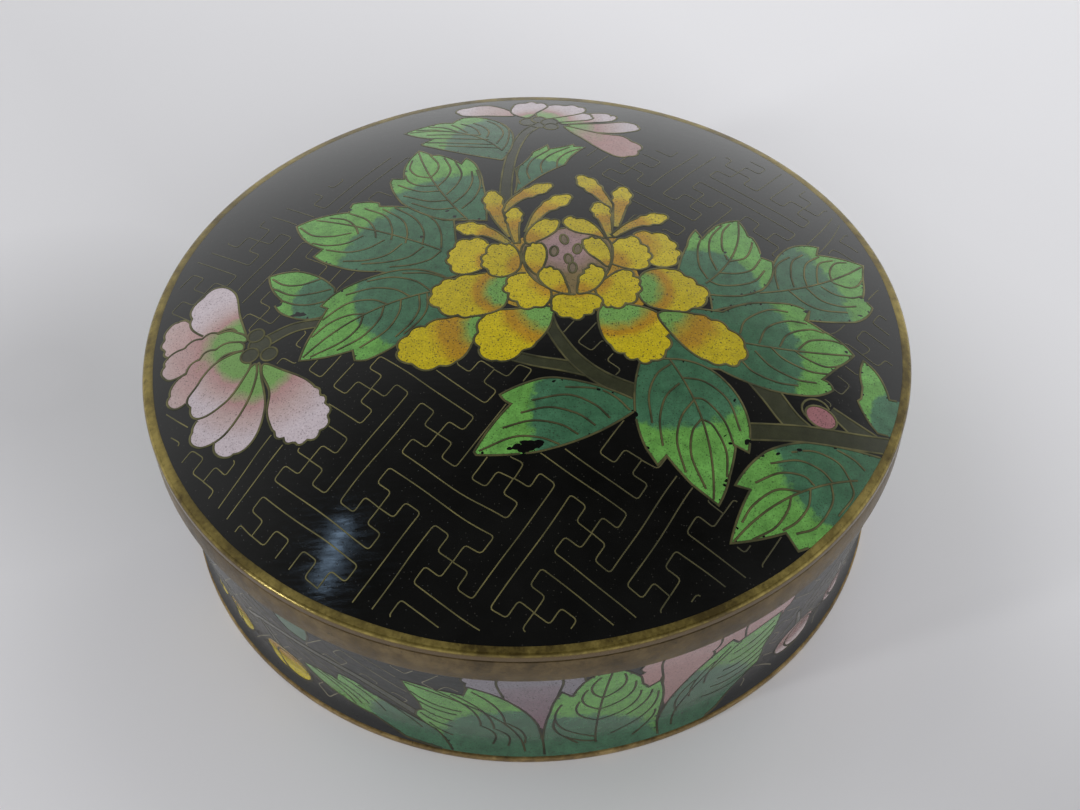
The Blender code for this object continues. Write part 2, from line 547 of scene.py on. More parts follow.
def drifted(path, drift):
    """Moves a path by the drift of the places that are nearest to it."""
    places = np.array(drift, float)
    away = np.hypot(path[:, :1] - places[:, 0], path[:, 1:] - places[:, 1])
    near = np.exp(-0.5 * (away / FRET_DRIFT_REACH) ** 2) + 1e-9
    return path + near @ places[:, 2:] / near.sum(1, keepdims=True)


def bent_by_hand(path, seed):
    """Moves a path a little, as wires bent by hand wander from their lattice."""
    return np.array([
        [value + FRET_WANDER * noise.noise(Vector((*(place / FRET_WANDER_LENGTH), seed + apart)))
         for value, apart in zip(place, (0, FRET_SEED_APART))] for place in path
    ])


def fret_paths(origin, reach, drift=()):
    """Every wire of the fret whose knot is within reach of the origin, right or left, up or down."""
    along, across = np.array(FRET_ALONG), np.array(FRET_ACROSS)
    paths = []
    count = math.ceil(max(reach) / (math.hypot(*FRET_ALONG) * FRET_CELL)) + 1
    for i in range(-count, count + 1):
        for j in range(-count, count + 1):
            knot = along * FRET_CELL * i + across * FRET_CELL * j
            if (i + j) % 2 or (abs(knot) > np.array(reach)).any():
                continue
            for arm in FRET_ARMS:
                plan = [np.array(origin) + knot + along * a + across * b for a, b in arm]
                path = rounded(plan, FRET_CORNER)
                if drift:
                    path = drifted(path, drift)
                paths.append(bent_by_hand(path, FRET_SEED_STEP * len(paths)))
    return paths


def on_lid_fret(points):
    """Which points of the lid can have the fret."""
    x, y = points.T
    in_front = y < FRET_BACK - FRET_BACK_SLOPE * np.maximum(0, FRET_BACK_LEFT - x)
    beside_gap = (y < FRET_GAP_FRONT) | (x < FRET_GAP[0]) | (x > FRET_GAP[1])
    return (np.hypot(x, y) < DOME_RADIUS - FRET_RIM_GAP) & in_front & beside_gap


def on_wall_fret(points):
    """Which points of the wall can have the fret."""
    x, y = points.T
    below, above = WALL_FRET_GAPS
    return (y > WALL_BOTTOM + below) & (y < WALL_TOP - above) & (abs(x) < WALL_HALF_LENGTH)


def clear_fret(drawing, paths, edge):
    """The stretches of the fret that lie on black ground, clear of every motif."""
    tree = KDTree(sum(len(cell["outline"]) for cell in drawing.cells[1:]))
    for cell in drawing.cells[1:]:
        for x, y in cell["outline"]:
            tree.insert((x, y, 0), 0)
    tree.balance()
    shown = []
    for path in paths:
        keep = ~drawing.covered(path, 0) & edge(path)
        keep &= np.array([tree.find((x, y, 0))[2] > FRET_MARGIN for x, y in path])
        shown += [run for run in runs(path, keep) if len(run) >= FRET_LEAST_POINTS]
    return shown


# Meshes
def new_mesh(name, vertices, faces):
    mesh = bpy.data.meshes.new(name)
    mesh.from_pydata(vertices, [], faces)
    return mesh


def link(name, mesh, material, slot, *nodes):
    """Puts a finished mesh in the scene as a piece of the box."""
    mesh.materials.append(material)
    piece = bpy.data.objects.new(name, mesh)
    bpy.context.scene.collection.objects.link(piece)
    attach(piece, BODY)
    if nodes:
        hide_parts(*nodes)


def arranged(drawing):
    """Cuts the drawing into triangles, each given to the topmost cell that covers it."""
    points, faces = [], []
    for cell in drawing.cells:
        first = len(points)
        points += [Vector(p) for p in cell["outline"]]
        faces.append(list(range(first, len(points))))
    low, high = drawing.cells[0]["low"], drawing.cells[0]["high"]
    rows = np.arange(low[1], high[1], GRID_ROW_STEP)
    grid = np.array([
        (x + (GRID_STEP / 2 if k % 2 else 0), y)
        for k, y in enumerate(rows) for x in np.arange(low[0], high[0], GRID_STEP)
    ])
    inner = grid[inside(grid, drawing.cells[0]["grid_edge"])]
    points += [Vector(p) for p in inner]
    plan, _, triangles, _, _, sources = delaunay_2d_cdt(points, [], faces, 1, CUT_TOLERANCE)
    top = [max(source) if 0 in source else -1 for source in sources]
    return np.array([tuple(p) for p in plan]), np.array(triangles), np.array(top)


def slab(name, drawing, plan, triangles, owners, material, slot):
    """A closed slab of enamel over some triangles of the plan, with each cell's tone on it."""
    used, index = np.unique(triangles, return_inverse=True)
    local = index.reshape(-1, 3)
    count = len(used)
    upper, normals = drawing.surface(plan[used], 0.0)
    lower, _ = drawing.surface(plan[used], -ENAMEL_DEPTH)
    edges = dict.fromkeys((t[k], t[(k + 1) % 3]) for t in local for k in range(3))
    rim = [(a, b) for a, b in edges if (b, a) not in edges]
    faces = [tuple(t) for t in local]
    faces += [(c + count, b + count, a + count) for a, b, c in local]
    faces += [(b, a, a + count, b + count) for a, b in rim]
    mesh = new_mesh(name, np.vstack([upper, lower]).tolist(), [list(map(int, f)) for f in faces])
    tones = np.zeros((len(mesh.loops), 3), np.float32)
    seeds = random.Random(CELL_SEED)
    cell_seed = [seeds.random() for _ in drawing.cells]
    for owner in np.unique(owners):
        rows = np.nonzero(owners == owner)[0]
        corner_plan = plan[triangles[rows]].reshape(-1, 2)
        value = drawing.cells[owner]["tone"](corner_plan).reshape(-1, 3)
        for offset, order in ((0, (0, 1, 2)), (len(local), (2, 1, 0))):
            for k in range(3):
                loops = (rows + offset) * 3 + k
                tones[loops, 0] = value[:, order[k]]
                tones[loops, 1] = cell_seed[owner]
    attribute = mesh.attributes.new("tone", "FLOAT_VECTOR", "CORNER")
    attribute.data.foreach_set("vector", tones.ravel())
    face_normals = np.zeros(len(mesh.polygons) * 3, np.float32)
    mesh.polygons.foreach_get("normal", face_normals)
    face_normals = face_normals.reshape(-1, 3)
    corner_normals = [tuple(normals[v]) for t in local for v in t]
    for k in range(len(local), len(faces)):
        corner_normals += [tuple(face_normals[k])] * len(faces[k])
    mesh.shade_smooth()
    mesh.normals_split_custom_set([Vector(n) for n in corner_normals])
    link(name, mesh, material, slot)


def unit(ways):
    """The ways at length 1. A way of no length stays so."""
    return ways / (np.hypot(*ways.T)[:, None] + 1e-12)


def wire_mesh(name, paths, surface, width, material, slot):
    """Closed strips with a rounded crown along paths on a surface."""
    vertices, faces = [], []
    half = width / 2
    profile = ((-half, -WIRE_DEPTH), (-half, WIRE_EDGE), (-half / 2, WIRE_TOP),
               (half / 2, WIRE_TOP), (half, WIRE_EDGE), (half, -WIRE_DEPTH))
    sides = len(profile)
    for path in paths:
        loop = is_loop(path)
        if loop:
            path = path[:-1]
            before, after = np.roll(path, 1, 0), np.roll(path, -1, 0)
        else:
            before = np.vstack([2 * path[:1] - path[1:2], path[:-1]])
            after = np.vstack([path[1:], 2 * path[-1:] - path[-2:-1]])
        out = unit(after - path)
        way = unit(unit(path - before) + out)
        mitre = 1 / np.maximum(WIRE_TURN_LEAST, (way * out).sum(1))
        side = np.stack([way[:, 1], -way[:, 0]], 1) * mitre[:, None]
        first = len(vertices)
        rings = [surface(path + side * across, height)[0] for across, height in profile]
        for k in range(len(path)):
            vertices += [tuple(ring[k]) for ring in rings]
        steps = len(path) if loop else len(path) - 1
        for k in range(steps):
            a, b = first + k * sides, first + (k + 1) % len(path) * sides
            for i in range(sides):
                j = (i + 1) % sides
                faces.append((a + i, a + j, b + j, b + i))
        if not loop:
            faces.append(tuple(first + i for i in reversed(range(sides))))
            faces.append(tuple(first + (len(path) - 1) * sides + i for i in range(sides)))
    mesh = new_mesh(name, vertices, faces)
    crown = mesh.attributes.new("crown", "FLOAT", "POINT")
    crown.data.foreach_set("value", [float(i in (2, 3)) for _ in range(len(vertices) // sides)
                                     for i in range(sides)])
    mesh.shade_smooth()
    mesh.set_sharp_from_angle(angle=SHARP_WIRE)
    link(name, mesh, material, slot)


def turned(name, section, material, slot, *nodes, reshape=None):
    """Turns a closed (radius, height) section round the axis.

    reshape gives new places to some of its points, by their number in the section and the angle.
    """
    vertices, faces = [], []
    count = len(section)
    for k in range(TURN_STEPS):
        angle = math.tau * k / TURN_STEPS
        for i, place in enumerate(section):
            radius, height = reshape(i, angle, place) if reshape else place
            r = radius * MM
            vertices.append((r * math.cos(angle), r * math.sin(angle), height * MM))
    for k in range(TURN_STEPS):
        a, b = k * count, (k + 1) % TURN_STEPS * count
        for i in range(count):
            j = (i + 1) % count
            faces.append((a + i, b + i, b + j, a + j))
    mesh = new_mesh(name, vertices, faces)
    mesh.validate()
    mesh.shade_smooth()
    mesh.set_sharp_from_angle(angle=SHARP_TURNED)
    link(name, mesh, material, slot, *nodes)


# Node materials
def linear(colour):
    """A colour given as 0 to 255 on a screen, as the light it stands for."""
    shares = [c / 255 for c in colour]
    return tuple(s / 12.92 if s < 0.04045 else ((s + 0.055) / 1.055) ** 2.4 for s in shares)


class Nodes:
    """A short way to write the nodes of a material or of the world."""

    def __init__(self, owner, shader="Principled BSDF", space="Object"):
        owner.use_nodes = True
        self.owner = owner
        self.tree = owner.node_tree
        self.shader = self.tree.nodes[shader]
        self.place = self.node("ShaderNodeTexCoord").outputs[space]

    def node(self, kind, inputs=(), **settings):
        made = self.tree.nodes.new(kind)
        for key, value in settings.items():
            setattr(made, key, value)
        self.fill(made, inputs)
        return made

    def fill(self, made, inputs):
        for key, value in dict(inputs).items():
            if isinstance(value, bpy.types.NodeSocket):
                self.tree.links.new(value, made.inputs[key])
            else:
                made.inputs[key].default_value = value

    def noise(self, scale, detail=3.0, roughness=0.55, place=None):
        return self.node("ShaderNodeTexNoise", {
            "Vector": place or self.place, "Scale": scale, "Detail": detail, "Roughness": roughness,
        }).outputs["Fac"]

    def attribute(self, name, output):
        return self.node("ShaderNodeAttribute", attribute_name=name).outputs[output]

    def math(self, operation, a, b=0.0, c=0.0, clamp=False):
        made = self.node("ShaderNodeMath", {0: a, 1: b, 2: c}, operation=operation, use_clamp=clamp)
        return made.outputs[0]

    def range(self, value, low, high, to_low=0.0, to_high=1.0):
        return self.node("ShaderNodeMapRange", {
            "Value": value, "From Min": low, "From Max": high, "To Min": to_low, "To Max": to_high,
        }).outputs["Result"]

    def vector(self, operation, a, b=(0, 0, 0), output="Value"):
        made = self.node("ShaderNodeVectorMath", {0: a, 1: b}, operation=operation)
        return made.outputs[output]

    def specks(self, scale, middle, end):
        """Small round spots: 1 in their middle and 0 from their end on."""
        cells = self.node("ShaderNodeTexVoronoi", {"Vector": self.place, "Scale": scale})
        return self.range(cells.outputs["Distance"], middle, end, 1, 0)

    def light_ramp(self, value, stops):
        """A ramp through (position, light) stops, which are all made first and then set in order."""
        made = self.node("ShaderNodeValToRGB", {"Fac": value})
        elements = made.color_ramp.elements
        while len(elements) < len(stops):
            elements.new(1.0)
        for element, (position, light) in zip(elements, stops):
            element.position = position
            element.color = (*light, 1)
        return made.outputs["Color"]

    def ramp(self, value, stops):
        """A ramp through (position, colour) stops."""
        return self.light_ramp(value, [(position, linear(colour)) for position, colour in stops])

    def mix(self, share, a, b, blend="MIX"):
        made = self.node("ShaderNodeMix", {0: share}, data_type="RGBA", blend_type=blend)
        for socket, value in ((made.inputs[6], a), (made.inputs[7], b)):
            if isinstance(value, bpy.types.NodeSocket):
                self.tree.links.new(value, socket)
            else:
                socket.default_value = (*linear(value), 1)
        return made.outputs[2]

    def bump(self, height, distance, strength=1.0):
        return self.node("ShaderNodeBump", {
            "Height": height, "Distance": distance * MM, "Strength": strength,
        }).outputs["Normal"]

    def finish(self, **inputs):
        self.fill(self.shader, {key.replace("_", " "): value for key, value in inputs.items()})
        return self.owner


ENAMEL_ROUGHNESS = (0.16, 0.26)
PIT_COLOUR = (38, 34, 26)
DUST_COLOUR = (74, 72, 66)
GRIME_COLOUR = (44, 38, 22)
SEAM_COLOUR = (34, 30, 20)
# The fret wires' darker colour away from their painted glint
UNGLINTED_WIRE_COLOUR = (62, 62, 50)
# Where the fret's wires get a painted glint, at the window's reflection, and how far off it begins and
# ends to fade to a darker colour, in metres
PAINTED_GLINT_SPOT = (-.024, -.036, .036)
PAINTED_GLINT_REACH = (0.034, 0.062)


def material_nodes(name):
    return Nodes(bpy.data.materials.new(name))


def enamel(name, stops, painted_shade_factor=1.0, wander=0.1, wander_size=1.4, mottle=0.25, grain=0.14, pits=1.0):
    """Fired enamel: a ramp of colour along each cell, cloudy, with pinholes and a soft gloss."""
    nodes = material_nodes(name)
    parts = nodes.node("ShaderNodeSeparateXYZ", {0: nodes.attribute("tone", "Vector")}).outputs
    drift = nodes.math("MULTIPLY_ADD", nodes.noise(1000 / wander_size), wander, -wander / 2)
    colour = nodes.ramp(nodes.math("ADD", parts["X"], drift), stops)
    cloud = nodes.range(nodes.noise(520, 6, 0.65), 0.3, 0.7, 1 - mottle, 1 + mottle)
    # Each cell's own random tone, times a darkening that paints shade on the wall's enamels
    own = nodes.range(parts["Y"], 0, 1, 0.93 * painted_shade_factor, 1.07 * painted_shade_factor)
    fine = nodes.range(nodes.noise(4200, 2, 0.6), 0.3, 0.7, 1 - grain, 1 + 0.8 * grain)
    shade = nodes.math("MULTIPLY", nodes.math("MULTIPLY", cloud, own), fine)
    colour = nodes.node("ShaderNodeHueSaturation", {"Color": colour, "Value": shade}).outputs[0]
    hole = nodes.specks(2600, 0.14, 0.3)
    speck = nodes.specks(900, 0.08, 0.15)
    hole = nodes.math("MULTIPLY", nodes.math("MAXIMUM", hole, speck), pits, clamp=True)
    colour = nodes.mix(hole, colour, PIT_COLOUR)
    height = nodes.math("SUBTRACT", nodes.noise(900, 2), hole)
    return nodes.finish(
        Base_Color=colour, Roughness=nodes.range(nodes.noise(600), 0.3, 0.7, *ENAMEL_ROUGHNESS),
        Normal=nodes.bump(height, 0.012, 0.6),
    )


def black_enamel(name, roughness):
    """Black enamel with specks of dust and fine scratches that run one way."""
    nodes = material_nodes(name)
    colour = nodes.ramp(nodes.noise(160, 5), [(0.3, (8, 8, 7)), (0.7, (15, 15, 14))])
    speck = nodes.specks(1300, 0.07, 0.13)
    colour = nodes.mix(nodes.math("MULTIPLY", speck, 0.35), colour, DUST_COLOUR)
    scratches = nodes.noise(1500, 4, 0.6, nodes.vector("MULTIPLY", nodes.place, (0.14, 1, 1), "Vector"))
    height = nodes.math("ADD", nodes.math("SUBTRACT", nodes.noise(260, 3), speck), scratches)
    return nodes.finish(
        Base_Color=colour, Normal=nodes.bump(height, 0.012, 0.5),
        Roughness=nodes.range(scratches, 0.36, 0.64, roughness - 0.03, roughness + 0.07),
    )


def old_brass(name, dark, mid, light, side=None):
    """Handled brass: mottled olive and brown patina, rubbed smooth and browner on its side."""
    nodes = material_nodes(name)
    broad = nodes.noise(85, 5, 0.6)
    middle = nodes.noise(420, 4, 0.6)
    fine = nodes.noise(1600, 4, 0.7)
    share = nodes.math("ADD", nodes.math("MULTIPLY", broad, 0.42), nodes.math("MULTIPLY", middle, 0.32))
    share = nodes.math("ADD", share, nodes.math("MULTIPLY", fine, 0.26))
    colour = nodes.ramp(share, [(0.40, dark), (0.5, mid), (0.6, light)])
    grime = nodes.range(nodes.noise(900, 5, 0.75), 0.6, 0.7, 0, 0.7)
    colour = nodes.mix(grime, colour, GRIME_COLOUR)
    radius = nodes.vector("LENGTH", nodes.vector("MULTIPLY", nodes.place, (1, 1, 0), "Vector"))
    roughness = nodes.range(fine, 0.3, 0.7, 0.3, 0.5)
    if side:
        def by_radius(start, end, *amounts):
            return nodes.range(radius, start * MM, end * MM, *amounts)

        colour = nodes.mix(by_radius(LID_RADIUS - .07, LID_RADIUS - .01), colour, side)
        rubbed = by_radius(LID_RADIUS - .6, LID_RADIUS - .4, 1, 0.4)
        roughness = nodes.math("MULTIPLY", roughness, rubbed)
        seam = by_radius(EDGE_RADIUS + .1, EDGE_RADIUS + .5, 0.55, 0)
        colour = nodes.mix(nodes.math("MULTIPLY", seam, middle), colour, SEAM_COLOUR)
    height = nodes.math("ADD", nodes.noise(2600, 3, 0.7), nodes.noise(300, 3))
    return nodes.finish(
        Base_Color=colour, Metallic=0.6, Roughness=roughness, Normal=nodes.bump(height, 0.03, 0.7),
    )


def wire_brass(name, edge, dark, light, painted_glint_spot=None):
    """Polished wire: its crown keeps the brass colour, and its edges are painted darker, as shade where
    the enamel has shrunk back from them. Near a glint spot its colour is a painted glint; away from it
    the colour is darker.
    """
    nodes = material_nodes(name)
    crown = nodes.attribute("crown", "Fac")
    colour = nodes.ramp(nodes.noise(260, 4), [(0.35, dark), (0.62, light)])
    # The edge colour is painted shade, where the enamel has shrunk back beside the wire
    colour = nodes.mix(nodes.range(crown, 0.25, 0.75), edge, colour)
    # Painted glint: bright near the spot where the window is mirrored, fading to a darker colour further
    # off
    if painted_glint_spot:
        away = nodes.vector("DISTANCE", nodes.place, painted_glint_spot)
        reach = nodes.math("ADD", away, nodes.math("MULTIPLY", nodes.noise(70, 3), .02))
        colour = nodes.mix(nodes.range(reach, *PAINTED_GLINT_REACH, 0, 0.75), colour, UNGLINTED_WIRE_COLOUR)
    return nodes.finish(
        Base_Color=colour, Metallic=0.55, Roughness=nodes.range(nodes.noise(900), 0.3, 0.7, 0.3, 0.42),
    )


def counter_enamel():
    """The plain turquoise enamel inside and underneath."""
    nodes = material_nodes("counter_enamel")
    colour = nodes.ramp(nodes.noise(140, 5), [(0.3, (40, 120, 126)), (0.7, (66, 152, 152))])
    hole = nodes.specks(1500, 0.1, 0.2)
    colour = nodes.mix(hole, colour, (28, 48, 46))
    height = nodes.math("SUBTRACT", nodes.noise(350, 3), hole)
    return nodes.finish(
        Base_Color=colour, Roughness=nodes.range(nodes.noise(300), 0.3, 0.7, 0.22, 0.34),
        Normal=nodes.bump(height, 0.05, 0.7),
    )


LEAF_STOPS = [(0.30, (55, 94, 68)), (0.475, (60, 101, 74)), (0.515, (91, 142, 66)),
              (0.8, (95, 148, 71))]
YELLOW_STOPS = [(0.24, (101, 144, 71)), (0.34, (142, 126, 38)), (0.42, (156, 118, 22)),
                (0.53, (160, 122, 18)), (0.68, (176, 158, 14))]
PINK_STOPS = [(0.26, (102, 141, 72)), (0.38, (158, 122, 120)), (0.55, (168, 146, 144)),
              (0.80, (181, 169, 175))]
WALL_PINK_STOPS = [(0.26, (92, 132, 62)), (0.38, (146, 108, 104)), (0.6, (164, 128, 126)),
                   (0.85, (186, 168, 168))]
LAVENDER_STOPS = [(0.1, (138, 92, 96)), (0.34, (112, 78, 88)), (0.6, (120, 104, 112)),
                  (0.8, (124, 118, 126))]
STEM_STOPS = [(0.0, (48, 50, 33)), (1.0, (60, 60, 38))]
POD_STOPS = [(0.1, (108, 92, 56)), (0.55, (132, 108, 98)), (0.9, (138, 112, 112))]
SEED_STOPS = [(0.0, (104, 90, 72)), (1.0, (112, 96, 80))]


# The lid's drawing

# A stem is its path and its width at both ends
LID_STEMS = [
    ([(47.4, -25), (44.8, -22.8), (42.2, -20.5)], 3.2, 1.3),
    ([(39.4, -26), (36.2, -23), (33.8, -19), (31.6, -15.6)], 2.9, 3.2),
    ([(53.5, -25), (46, -25.2), (38, -25), (29, -25.5)], 2.6, 2.6),
    ([(8.4, -16.4), (5, -15.5), (1, -14.6), (-3, -13.2)], 2.0, 1.6),
    ([(16, -20.6), (10.6, -17.9), (6.8, -14.4), (4, -9.5), (3, -6)], 2.6, 1.6),
    ([(-2.6, 14), (-2.4, 25), (-1.3, 34), (0.6, 40.5), (2.6, 43.6)], 1.9, 1.5),
    ([(-29, -4), (-33.6, -4.1), (-37.6, -5.8)], 1.4, 2.0),
]

